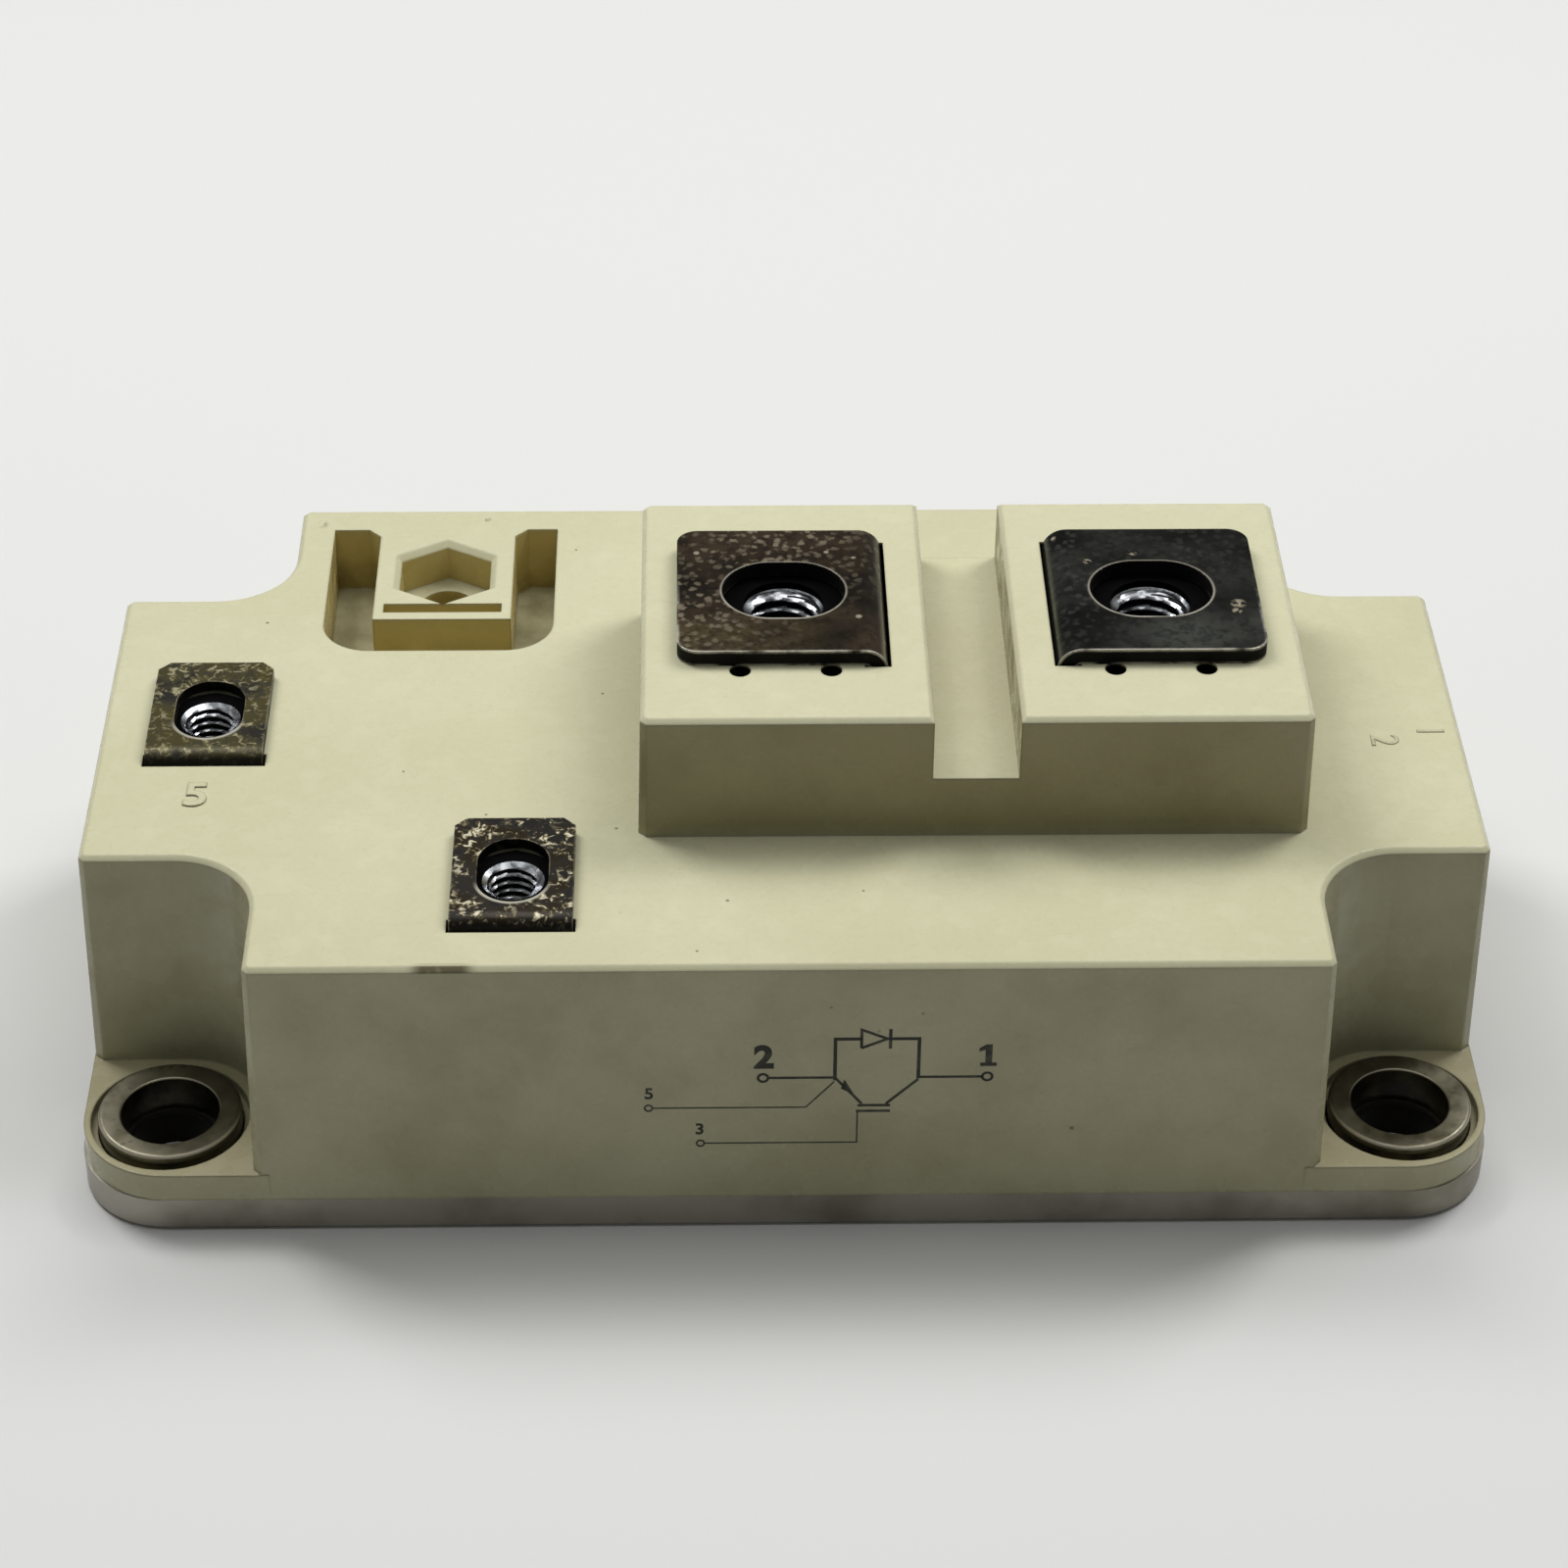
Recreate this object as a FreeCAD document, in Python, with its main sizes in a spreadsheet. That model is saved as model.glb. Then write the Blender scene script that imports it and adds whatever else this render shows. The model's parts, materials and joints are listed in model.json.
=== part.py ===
import FreeCAD, Part
import math
import os

import Sketcher
from FreeCAD import Vector

# Power transistor module, in millimetres.
# X runs along the case, Y from its front to its back, Z up.
# The origin is the centre of the base plate's lower face.

# Driving dimensions: name, value, meaning.
DRIVING = [
    ("case_wide", 61.4, "base plate and housing along Y"),
    ("total_high", 36.5, "floor to the top of the main terminals"),
    ("plate_thick", 3.0, "base plate"),
    ("plate_edge", 0.3, "chamfer round the base plate's lower edge"),
    ("hole_bore", 6.4, "mounting hole in the base plate"),
    ("ring_outer", 10.8, "mounting ring, outside"),
    ("ring_inner", 7.4, "mounting ring, inside"),
    ("ring_proud", 0.7, "how far the ring stands above its ear"),
    ("ring_edge", 0.4, "chamfer of the ring's outer upper edge"),
    ("ring_gap", 0.1, "clearance of the ring in its ear"),
    ("ring_relief", 0.5, "extra radius of the shallow relief round the ring"),
    ("ring_relief_deep", 0.9, "depth of that relief"),
    ("ear_rim", 0.7, "base plate outside the relief"),
    ("ear_inset", 0.2, "housing behind the base plate's edge at either end"),
    ("ear_thick", 2.4, "ear above the base plate"),
    ("notch_room_long", 0.7, "relief to the body's wall along X"),
    ("notch_room_wide", 0.5, "relief to the arm's wall along Y"),
    ("body_high", 21.7, "housing from the base plate to its main top face"),
    ("notch_round", 5.7, "inner corner of the notch over each ear"),
    ("body_corner", 0.7, "bevel of the housing's upright corners"),
    ("tower_corner", 0.6, "bevel of the towers' upright corners"),
    ("body_edge", 0.35, "chamfer of the housing's upper edges"),
    ("draft_angle", 1.3, "mould draft of the outer walls, in degrees"),
    ("wall_thick", 2.5, "outer walls"),
    ("roof_thick", 3.0, "wall under the top face"),
    ("main_pitch", 28.0, "distance of the two main terminals"),
    ("main_y", 0.5, "main screws behind the centre line"),
    ("tower_long", 22.1, "one terminal tower along X, at its foot"),
    ("tower_wide", 29.8, "towers along Y, at their foot"),
    ("tower_room", 0.75, "right tower from the wide middle part's end"),
    ("groove_wide", 6.4, "groove between the towers, along X"),
    ("groove_deep", 5.3, "its depth"),
    ("main_thick", 1.3, "sheet of the main terminals"),
    ("main_wide", 16.4, "main terminals along Y"),
    ("main_reach", 7.7, "screw centre to the fold of a main terminal"),
    ("main_tail", 8.1, "screw centre to the free end of a main terminal"),
    ("main_corner", 1.6, "free corners of a main terminal"),
    ("main_slot_long", 9.4, "oblong screw hole of a main terminal along X"),
    ("main_slot_wide", 7.5, "the same hole along Y"),
    ("main_bend", 0.5, "inner bend radius of the main terminals"),
    ("foot_long", 2.4, "soldered foot of a main terminal"),
    ("foot_inset", 0.4, "emitter feet from the inner edge of their tracks"),
    ("emitter_wide", 7.2, "width of each of the emitter's two branches"),
    ("emitter_level", 5.0, "emitter cross bar above the tracks"),
    ("collector_wide", 6.4, "width of the collector's branches"),
    ("collector_level", 9.7, "collector cross bar above the tracks"),
    ("collector_offset", 20.7, "collector branches behind the centre line"),
    ("main_nut_flats", 10.0, "nut under a main terminal, across flats"),
    ("main_nut_high", 5.0, "height of that nut"),
    ("main_nut_bore", 5.0, "its bore, at the thread's crests"),
    ("main_screw_room", 6.8, "bore for the screw's end under that nut"),
    ("main_screw_deep", 11.0, "screw room below the tower's top"),
    ("aux_left_end", 8.9, "left auxiliary screw from the base plate's left end"),
    ("aux_left_y", 0.5, "left auxiliary screw behind the centre line"),
    ("aux_front_end", 19.6, "front auxiliary screw from the wide middle part's left end"),
    ("aux_front_side", 10.8, "front auxiliary screw from the housing's front"),
    ("aux_thick", 0.9, "sheet of the auxiliary terminals"),
    ("aux_wide", 9.0, "auxiliary terminals along X"),
    ("aux_reach", 6.0, "screw centre to the fold of an auxiliary terminal"),
    ("aux_tail", 6.3, "screw centre to its free end"),
    ("aux_corner", 0.9, "cut corners of its free end"),
    ("aux_slot_long", 5.3, "oblong screw hole along X"),
    ("aux_slot_wide", 7.5, "the same hole along Y"),
    ("aux_bend", 0.4, "inner bend radius"),
    ("aux_leg_wide", 5.0, "leg inside the housing"),
    ("aux_leg_low", 12.0, "lower end of the leg above the floor"),
    ("aux_nut_flats", 7.0, "nut under an auxiliary terminal, across flats"),
    ("aux_nut_high", 3.2, "height of that nut"),
    ("aux_nut_bore", 3.3, "its bore, at the thread's crests"),
    ("aux_screw_room", 4.5, "bore for the screw's end under that nut"),
    ("aux_screw_deep", 8.6, "screw room below the top face"),
    ("boss_floor", 1.8, "plastic under the screw room"),
    ("boss_wall", 2.2, "plastic round the screw room"),
    ("nut_gap", 0.15, "clearance of a nut in its pocket, each side and below"),
    ("nut_sink", 0.1, "how far a nut lies under its terminal"),
    ("sheet_gap", 0.2, "clearance of a terminal in its slot, each side"),
    ("peep_bore", 1.6, "small core holes in front of a main terminal"),
    ("peep_pitch", 6.8, "distance of the two core holes"),
    ("peep_deep", 4.0, "their depth"),
    ("peep_offset", 8.8, "core holes in front of the screw centre"),
    ("core_gap", 2.2, "plastic between a tower's pockets and its cores"),
    ("spare_end", 12.7, "unpopulated position from the wide middle part's left end"),
    ("spare_side", 9.8, "unpopulated position from the housing's back"),
    ("spare_left", 9.4, "its recess, left of the screw centre"),
    ("spare_right", 9.0, "its recess, right of the screw centre"),
    ("spare_front", 11.3, "its recess, in front of the screw centre"),
    ("spare_back", 6.2, "its recess, behind the screw centre"),
    ("spare_deep", 5.8, "depth of the recess"),
    ("spare_round", 3.8, "front corners of the recess"),
    ("block_long", 11.1, "block in the recess along X"),
    ("block_front", 6.9, "block in front of the screw centre"),
    ("block_corner", 1.0, "cut where the block meets the back wall"),
    ("slit_long", 9.5, "slit in the block along X"),
    ("slit_wide", 1.2, "slit along Y"),
    ("slit_offset", 5.3, "slit in front of the screw centre"),
    ("pocket_edge", 0.5, "chamfer round a nut's pocket"),
    ("substrate_end", 1.8, "ceramic substrates from the end walls"),
    ("substrate_side", 3.2, "ceramic substrates from the side walls"),
    ("substrate_gap", 3.0, "gap between the two substrates"),
    ("ceramic_thick", 0.4, "ceramic"),
    ("copper_thick", 0.3, "copper on either side of it"),
    ("copper_margin", 1.0, "bare rim of the ceramic"),
    ("track_gap", 0.7, "gap between tracks"),
    ("lead_track", 2.0, "width of the gate and sense tracks"),
    ("emitter_track", 6.0, "width of the emitter track"),
    ("chip_thick", 0.2, "chips"),
    ("transistor_side", 11.0, "transistor chip, square"),
    ("diode_long", 11.0, "diode chip along X"),
    ("foot_room", 1.5, "last diode chip in front of the collector's foot"),
    ("chip_gap", 0.8, "gap between chips"),
    ("wire_bore", 0.4, "bond wire diameter"),
    ("wire_rise", 1.1, "height of a bond wire's loop"),
    ("wire_pitch", 2.4, "distance of neighbouring bond wires"),
    ("wire_margin", 2.0, "bond wires from a chip's front and back edges"),
    ("wire_land", 0.9, "bond wires from the outer edge of the emitter track"),
    ("lead_bore", 1.2, "lead wire diameter"),
    ("gate_level", 5.0, "gate lead wires above the tracks"),
    ("sense_level", 3.2, "sense lead wires above the tracks"),
    ("gate_land", 22.0, "gate leads land in front of the centre line"),
    ("sense_land", 12.0, "sense leads land in front of the centre line"),
    ("gel_level", 9.3, "surface of the gel above the base plate"),
    ("gel_pocket", 2.0, "gel's underside above the tracks"),
]

# Directions, counts and ratios

SIDES = {"left": -1, "right": 1}
ENDS = {"front": -1, "back": 1}
QUARTERS = ((1, 1), (-1, 1), (-1, -1), (1, -1))
CHIP_PAIRS = ("1", "2")
HEX_ANGLES = [math.radians(angle) for angle in range(0, 360, 60)]
HEX_POINT = 1 / math.sqrt(3)
NUT_BEVEL = 1 / math.sqrt(3)
SHOULDER = 0.6
MITRED = 1
TOUCH = 1e-6


# Sizes with their expressions

class Size:
    """A length that knows its number and the expression which binds it to the sheet."""

    def __init__(self, number, text):
        self.number = number
        self.text = text

    def __add__(self, other):
        return join_sizes(self, "+", other, self.number + number_of(other))

    def __radd__(self, other):
        return self + other

    def __sub__(self, other):
        return join_sizes(self, "-", other, self.number - number_of(other))

    def __rsub__(self, other):
        return join_sizes(other, "-", self, number_of(other) - self.number)

    def __mul__(self, other):
        return join_sizes(self, "*", other, self.number * number_of(other))

    def __rmul__(self, other):
        return self * other

    def __truediv__(self, other):
        return join_sizes(self, "/", other, self.number / number_of(other))

    def __neg__(self):
        return self * -1


def number_of(value):
    return value.number if isinstance(value, Size) else float(value)


def text_of(value):
    return value.text if isinstance(value, Size) else f"({value})"


def join_sizes(first, sign, second, number):
    return Size(number, f"({text_of(first)} {sign} {text_of(second)})")


class Sheet:
    """The spreadsheet of driving dimensions; each name gives its Size."""

    def __init__(self, doc):
        self.cells = doc.addObject("Spreadsheet::Sheet", "Sizes")
        self.known = {}
        for row, (name, value, meaning) in enumerate(DRIVING, 1):
            self.cells.set(f"A{row}", meaning)
            self.cells.set(f"B{row}", str(value))
            self.cells.setAlias(f"B{row}", name)
            self.known[name] = Size(value, f"Sizes.{name}")
        doc.recompute()

    def __getattr__(self, name):
        return self.known[name]


doc = FreeCAD.newDocument("Module")
mm = Sheet(doc)


# Heights and places that follow from the driving dimensions

ZERO = Size(0.0, "0")
SEAT_RADIUS = mm.ring_outer / 2 + mm.ring_gap
RELIEF_RADIUS = SEAT_RADIUS + mm.ring_relief
HOLE_INSET = RELIEF_RADIUS + mm.ear_rim
BODY_X = mm.main_pitch + mm.tower_long / 2 + mm.tower_room
HOLE_X = BODY_X + mm.notch_room_long + RELIEF_RADIUS
CASE_X = HOLE_X + HOLE_INSET
EAR_X = CASE_X - mm.ear_inset
CASE_Y = mm.case_wide / 2
HOLE_Y = CASE_Y - HOLE_INSET
ARM_Y = HOLE_Y - RELIEF_RADIUS - mm.notch_room_wide
PLATE_TOP = mm.plate_thick
EAR_TOP = PLATE_TOP + mm.ear_thick
BODY_TOP = PLATE_TOP + mm.body_high
ROOF_LOW = BODY_TOP - mm.roof_thick
TOWER_TOP = mm.total_high - mm.main_thick
GROOVE_FLOOR = TOWER_TOP - mm.groove_deep
MAIN_X = {"left": ZERO, "right": mm.main_pitch}
HEAD_FRONT = mm.main_y - mm.main_wide / 2
HEAD_BACK = mm.main_y + mm.main_wide / 2
FOLD_SIDE = {"left": 1, "right": -1}
AUX = {
    "left": (mm.aux_left_end - CASE_X, mm.aux_left_y),
    "front": (mm.aux_front_end - BODY_X, mm.aux_front_side - CASE_Y),
}
SPARE_X = mm.spare_end - BODY_X
SPARE_Y = CASE_Y - mm.spare_side
SUBSTRATE_NEAR = mm.substrate_gap / 2
SUBSTRATE_FAR = BODY_X - mm.wall_thick - mm.substrate_end
SUBSTRATE_Y = CASE_Y - mm.wall_thick - mm.substrate_side
CERAMIC_LOW = PLATE_TOP + mm.copper_thick
TRACK_LOW = CERAMIC_LOW + mm.ceramic_thick
TRACK_TOP = TRACK_LOW + mm.copper_thick
CHIP_TOP = TRACK_TOP + mm.chip_thick
MAIN_NUT_LOW = TOWER_TOP - mm.main_nut_high - mm.nut_sink
AUX_NUT_LOW = BODY_TOP - mm.aux_nut_high - mm.nut_sink
RECESS_FLOOR = BODY_TOP - mm.spare_deep
BOSS_LOW = BODY_TOP - mm.aux_screw_deep - mm.boss_floor
BOSS_RADIUS = mm.aux_screw_room / 2 + mm.boss_wall


# Sketches, whose points are pinned by distances from the origin

def pin_point(sketch, item, spot, corner):
    """Bind one point of a sketch to the two coordinates of corner."""
    for kind, value in zip(("DistanceX", "DistanceY"), corner):
        rule = Sketcher.Constraint(kind, -1, 1, item, spot, number_of(value))
        name_rule(sketch, rule, value)


def name_rule(sketch, rule, value):
    """Add a dimension to a sketch and bind it to the sheet."""
    index = sketch.addConstraint(rule)
    sketch.renameConstraint(index, f"size_{index}")
    if isinstance(value, Size):
        sketch.setExpression(f"Constraints.size_{index}", value.text)


def add_circle(sketch, centre, radius):
    middle = Vector(number_of(centre[0]), number_of(centre[1]), 0)
    circle = Part.Circle(middle, Vector(0, 0, 1), number_of(radius))
    item = sketch.addGeometry(circle)
    pin_point(sketch, item, 3, centre)
    name_rule(sketch, Sketcher.Constraint("Radius", item, number_of(radius)), radius)


def add_outline(sketch, corners):
    """Closed outline through corners given as (x, y), or (x, y, radius) where the corner is round."""
    points = [Vector(number_of(c[0]), number_of(c[1]), 0) for c in corners]
    count = len(points)
    starts = []
    ends = []
    arcs = {}
    for index, corner in enumerate(corners):
        here = points[index]
        if len(corner) == 2:
            ends.append(here)
            starts.append(here)
            continue
        back = (points[index - 1] - here).normalize()
        ahead = (points[(index + 1) % count] - here).normalize()
        radius = number_of(corner[2])
        half = back.getAngle(ahead) / 2
        reach = radius / math.tan(half)
        ends.append(here + back * reach)
        starts.append(here + ahead * reach)
        bisector = (back + ahead).normalize()
        middle = here + bisector * (reach ** 2 + radius ** 2) ** 0.5
        through = middle - bisector * radius
        arcs[index] = Part.Arc(ends[index], through, starts[index])
    lines = []
    for index in range(count):
        line = Part.LineSegment(starts[index], ends[(index + 1) % count])
        lines.append(sketch.addGeometry(line))
    for index, corner in enumerate(corners):
        before = lines[index - 1]
        after = lines[index]
        if index not in arcs:
            sketch.addConstraint(Sketcher.Constraint("Coincident", before, 2, after, 1))
            pin_point(sketch, after, 1, corner[:2])
            continue
        arc = sketch.addGeometry(arcs[index])
        first = 1 if sketch.getPoint(arc, 1).distanceToPoint(ends[index]) < TOUCH else 2
        last = 3 - first
        sketch.addConstraint(Sketcher.Constraint("Tangent", before, 2, arc, first))
        sketch.addConstraint(Sketcher.Constraint("Tangent", arc, last, after, 1))
        apex = sketch.addGeometry(Part.Point(points[index]), True)
        pin_point(sketch, apex, 1, corner[:2])
        sketch.addConstraint(Sketcher.Constraint("PointOnObject", apex, 1, before))
        sketch.addConstraint(Sketcher.Constraint("PointOnObject", apex, 1, after))
        name_rule(sketch, Sketcher.Constraint("Radius", arc, number_of(corner[2])), corner[2])


def add_slot(sketch, centre, long, wide):
    """Oblong with round ends; long lies along X and wide along Y, whichever is larger."""
    x, y = centre
    upright = number_of(wide) > number_of(long)
    radius = (long if upright else wide) / 2
    reach = (wide if upright else long) / 2 - radius
    caps = []
    for sign in (1, -1):
        middle = (x, y + reach * sign) if upright else (x + reach * sign, y)
        point = Vector(number_of(middle[0]), number_of(middle[1]), 0)
        turn = math.pi / 2 * (sign if upright else 0) + (math.pi if not upright and sign < 0 else 0)
        circle = Part.Circle(point, Vector(0, 0, 1), radius.number)
        arc = Part.ArcOfCircle(circle, turn - math.pi / 2, turn + math.pi / 2)
        cap = sketch.addGeometry(arc)
        pin_point(sketch, cap, 3, middle)
        caps.append(cap)
    name_rule(sketch, Sketcher.Constraint("Radius", caps[0], radius.number), radius)
    sketch.addConstraint(Sketcher.Constraint("Equal", caps[0], caps[1]))
    for first, last in ((caps[0], caps[1]), (caps[1], caps[0])):
        line = Part.LineSegment(sketch.getPoint(first, 2), sketch.getPoint(last, 1))
        side = sketch.addGeometry(line)
        sketch.addConstraint(Sketcher.Constraint("Tangent", first, 2, side, 1))
        sketch.addConstraint(Sketcher.Constraint("Tangent", side, 2, last, 1))


def box_corners(x_low, x_high, y_low, y_high, radius=None):
    corners = [(x_low, y_low), (x_high, y_low), (x_high, y_high), (x_low, y_high)]
    return corners if radius is None else [corner + (radius,) for corner in corners]


def hexagon_corners(centre, flats):
    """Hexagon with two corners along Y."""
    x, y = centre
    point = flats * HEX_POINT
    corners = [(x, y + point), (x - flats / 2, y + point / 2), (x - flats / 2, y - point / 2)]
    return corners + [(x, y - point), (x + flats / 2, y - point / 2), (x + flats / 2, y + point / 2)]


def strip_corners(path, thick, bend):
    """Edge-on outline of a folded sheet: path follows one face and the sheet lies to its left."""
    steps = []
    for (x, y), (x_next, y_next) in zip(path, path[1:]):
        steps.append((sign_of(x_next - x), sign_of(y_next - y)))
    near = [path[0]]
    far = [(path[0][0] - thick * steps[0][1], path[0][1] + thick * steps[0][0])]
    for (x, y), before, after in zip(path[1:], steps, steps[1:]):
        left_turn = before[0] * after[1] - before[1] * after[0] > 0
        tight, wide = bend, bend + thick
        near.append((x, y, wide if left_turn else tight))
        far_x = x - thick * (before[1] + after[1])
        far_y = y + thick * (before[0] + after[0])
        far.append((far_x, far_y, tight if left_turn else wide))
    x, y = path[-1]
    near.append((x, y))
    far.append((x - thick * steps[-1][1], y + thick * steps[-1][0]))
    return near + far[::-1]


def sign_of(size):
    return 0 if abs(size.number) < TOUCH else int(math.copysign(1, size.number))


# Features of a body

def new_body(name):
    body = doc.addObject("PartDesign::Body", name)
    body.Label = name
    return body


def new_sketch(body, plane, offset=None):
    """Sketch on one of the body's origin planes, moved along the plane's normal by offset."""
    flat = next(item for item in body.Origin.OriginFeatures if item.Role == plane)
    sketch = body.newObject("Sketcher::SketchObject", "sketch")
    sketch.AttachmentSupport = [(flat, "")]
    sketch.MapMode = "FlatFace"
    if offset is not None:
        sketch.setExpression("AttachmentOffset.Base.z", offset.text)
    return sketch


def extrude(body, kind, sketch, length, reverse=False, both_ways=False, draft=None):
    """Pad or Pocket of a sketch; both_ways centres it on the sketch."""
    feature = body.newObject(f"PartDesign::{kind}", kind.lower())
    feature.Profile = sketch
    feature.setExpression("Length", length.text)
    feature.Reversed = reverse
    if both_ways:
        feature.SideType = "Symmetric"
    if draft is not None:
        feature.setExpression("TaperAngle", draft.text)
    sketch.Visibility = False
    return feature


def pad_up(body, corners, low, high, draft=None):
    """Pad an outline from one height to another."""
    sketch = new_sketch(body, "XY_Plane", low)
    add_outline(sketch, corners)
    return extrude(body, "Pad", sketch, high - low, draft=draft)


def pocket_down(body, corners, top, low):
    """Pocket an outline from one height down to another."""
    sketch = new_sketch(body, "XY_Plane", top)
    add_outline(sketch, corners)
    return extrude(body, "Pocket", sketch, top - low)


def bore_down(body, circles, top, low):
    """Pocket round holes, given as (centre, radius), from one height down to another."""
    sketch = new_sketch(body, "XY_Plane", top)
    for centre, radius in circles:
        add_circle(sketch, centre, radius)
    return extrude(body, "Pocket", sketch, top - low)


def turn(body, kind, corners):
    """Revolution or Groove of an outline in the body's XZ plane about its Z axis."""
    sketch = new_sketch(body, "XZ_Plane")
    add_outline(sketch, corners)
    feature = body.newObject(f"PartDesign::{kind}", kind.lower())
    feature.Profile = sketch
    feature.ReferenceAxis = (sketch, ["V_Axis"])
    sketch.Visibility = False
    return feature


def dress(body, kind, size, wanted):
    """Fillet or Chamfer of the edges of the body's last feature that wanted picks."""
    doc.recompute()
    base = body.Tip
    names = [f"Edge{number}" for number, edge in enumerate(base.Shape.Edges, 1) if wanted(edge)]
    feature = body.newObject(f"PartDesign::{kind}", kind.lower())
    feature.Base = (base, names)
    feature.setExpression("Radius" if kind == "Fillet" else "Size", size.text)
    return feature


def lies_at(edge, height):
    """True where an edge lies level at a height."""
    box = edge.BoundBox
    return abs(box.ZMin - height.number) < TOUCH and abs(box.ZMax - height.number) < TOUCH


def stands_at(edge, axis, place):
    """True where an edge stands upright at a place along one axis."""
    box = edge.BoundBox
    upright = box.ZLength > max(box.XLength, box.YLength)
    return upright and abs(edge.CenterOfMass[axis] - place.number) < TOUCH


def is_circle(edge, radius):
    return isinstance(edge.Curve, Part.Circle) and abs(edge.Curve.Radius - radius) < TOUCH


def place_at(part, x, y, z):
    """Bind a part's place to the sheet."""
    for axis, value in zip("xyz", (x, y, z)):
        part.setExpression(f"Placement.Base.{axis}", value.text)


def mounting_holes():
    """Centres of the four mounting holes with their names."""
    for end, y_sign in ENDS.items():
        for side, x_sign in SIDES.items():
            yield f"{end}_{side}", (HOLE_X * x_sign, HOLE_Y * y_sign)


# Base plate, whose corners are round about its holes

def make_base_plate():
    body = new_body("base_plate")
    outline = box_corners(-CASE_X, CASE_X, -CASE_Y, CASE_Y, HOLE_INSET)
    pad_up(body, outline, ZERO, PLATE_TOP)
    holes = [(centre, mm.hole_bore / 2) for _, centre in mounting_holes()]
    bore_down(body, holes, PLATE_TOP, ZERO)
    radius = (mm.hole_bore / 2).number
    dress(body, "Chamfer", mm.plate_edge, lambda edge: lies_at(edge, ZERO) and not is_circle(edge, radius))
    return body


# Housing

def bevelled(x, y, x_sign, y_sign, bevel):
    """The two ends of the bevel at an outer corner."""
    return [(x, y - bevel * y_sign), (x - bevel * x_sign, y)]


def cross_corners(wall, bevel=None):
    """Outline of the housing with its outer corners bevelled, or of its hollow where wall is the wall's thickness."""
    corners = []
    for x_sign, y_sign in QUARTERS:
        tip = ((EAR_X - wall) * x_sign, (ARM_Y - wall) * y_sign)
        notch = ((BODY_X - wall) * x_sign, (ARM_Y - wall) * y_sign, mm.notch_round + wall)
        shoulder = ((BODY_X - wall) * x_sign, (CASE_Y - wall) * y_sign)
        quarter = [tip, notch, shoulder]
        if bevel is not None:
            quarter = bevelled(*tip, x_sign, y_sign, bevel) + [notch] + bevelled(*shoulder, x_sign, y_sign, bevel)
        corners += quarter if x_sign == y_sign else quarter[::-1]
    return corners


def tower_corners():
    """Outline of both towers together, at their foot."""
    half = mm.tower_long / 2
    middle = mm.main_pitch / 2
    corners = []
    for x_sign, y_sign in QUARTERS:
        x = middle + (middle + half) * x_sign
        corner = bevelled(x, mm.tower_wide / 2 * y_sign, x_sign, y_sign, mm.tower_corner)
        corners += corner if x_sign == y_sign else corner[::-1]
    return corners


def ear_corners(x_sign, y_sign):
    """Outline of one ear, which starts inside the wall that carries it."""
    inner_x = (BODY_X - mm.wall_thick / 2) * x_sign
    inner_y = (ARM_Y - mm.wall_thick / 2) * y_sign
    outer_x = EAR_X * x_sign
    outer_y = CASE_Y * y_sign
    return [(inner_x, inner_y), (outer_x, inner_y), (outer_x, outer_y, HOLE_INSET), (inner_x, outer_y)]


def recess_corners():
    """The recess of the unpopulated position, which runs round a block on three sides."""
    left = SPARE_X - mm.spare_left
    right = SPARE_X + mm.spare_right
    front = SPARE_Y - mm.spare_front
    back = SPARE_Y + mm.spare_back
    block_left = SPARE_X - mm.block_long / 2
    block_right = SPARE_X + mm.block_long / 2
    block_front = SPARE_Y - mm.block_front
    return [
        (left, back),
        (left, front, mm.spare_round),
        (right, front, mm.spare_round),
        (right, back),
        (block_right + mm.block_corner, back),
        (block_right, back - mm.block_corner),
        (block_right, block_front),
        (block_left, block_front),
        (block_left, back - mm.block_corner),
        (block_left - mm.block_corner, back),
    ]


def add_shell(body):
    """Walls, ears, towers and the hollow inside."""
    pad_up(body, cross_corners(ZERO, mm.body_corner), PLATE_TOP, BODY_TOP, draft=-mm.draft_angle)
    dress(body, "Chamfer", mm.body_edge, lambda edge: lies_at(edge, BODY_TOP))
    ears = new_sketch(body, "XY_Plane", PLATE_TOP)
    for x_sign, y_sign in QUARTERS:
        add_outline(ears, ear_corners(x_sign, y_sign))
    extrude(body, "Pad", ears, mm.ear_thick)
    pad_up(body, tower_corners(), BODY_TOP, TOWER_TOP, draft=-mm.draft_angle)
    middle = mm.main_pitch / 2
    groove = box_corners(middle - mm.groove_wide / 2, middle + mm.groove_wide / 2, -CASE_Y, CASE_Y)
    pocket_down(body, groove, TOWER_TOP, GROOVE_FLOOR)
    dress(body, "Chamfer", mm.body_edge, lambda edge: lies_at(edge, TOWER_TOP))
    hollow = new_sketch(body, "XY_Plane", PLATE_TOP)
    add_outline(hollow, cross_corners(mm.wall_thick))
    extrude(body, "Pocket", hollow, ROOF_LOW - PLATE_TOP, reverse=True)


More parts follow.
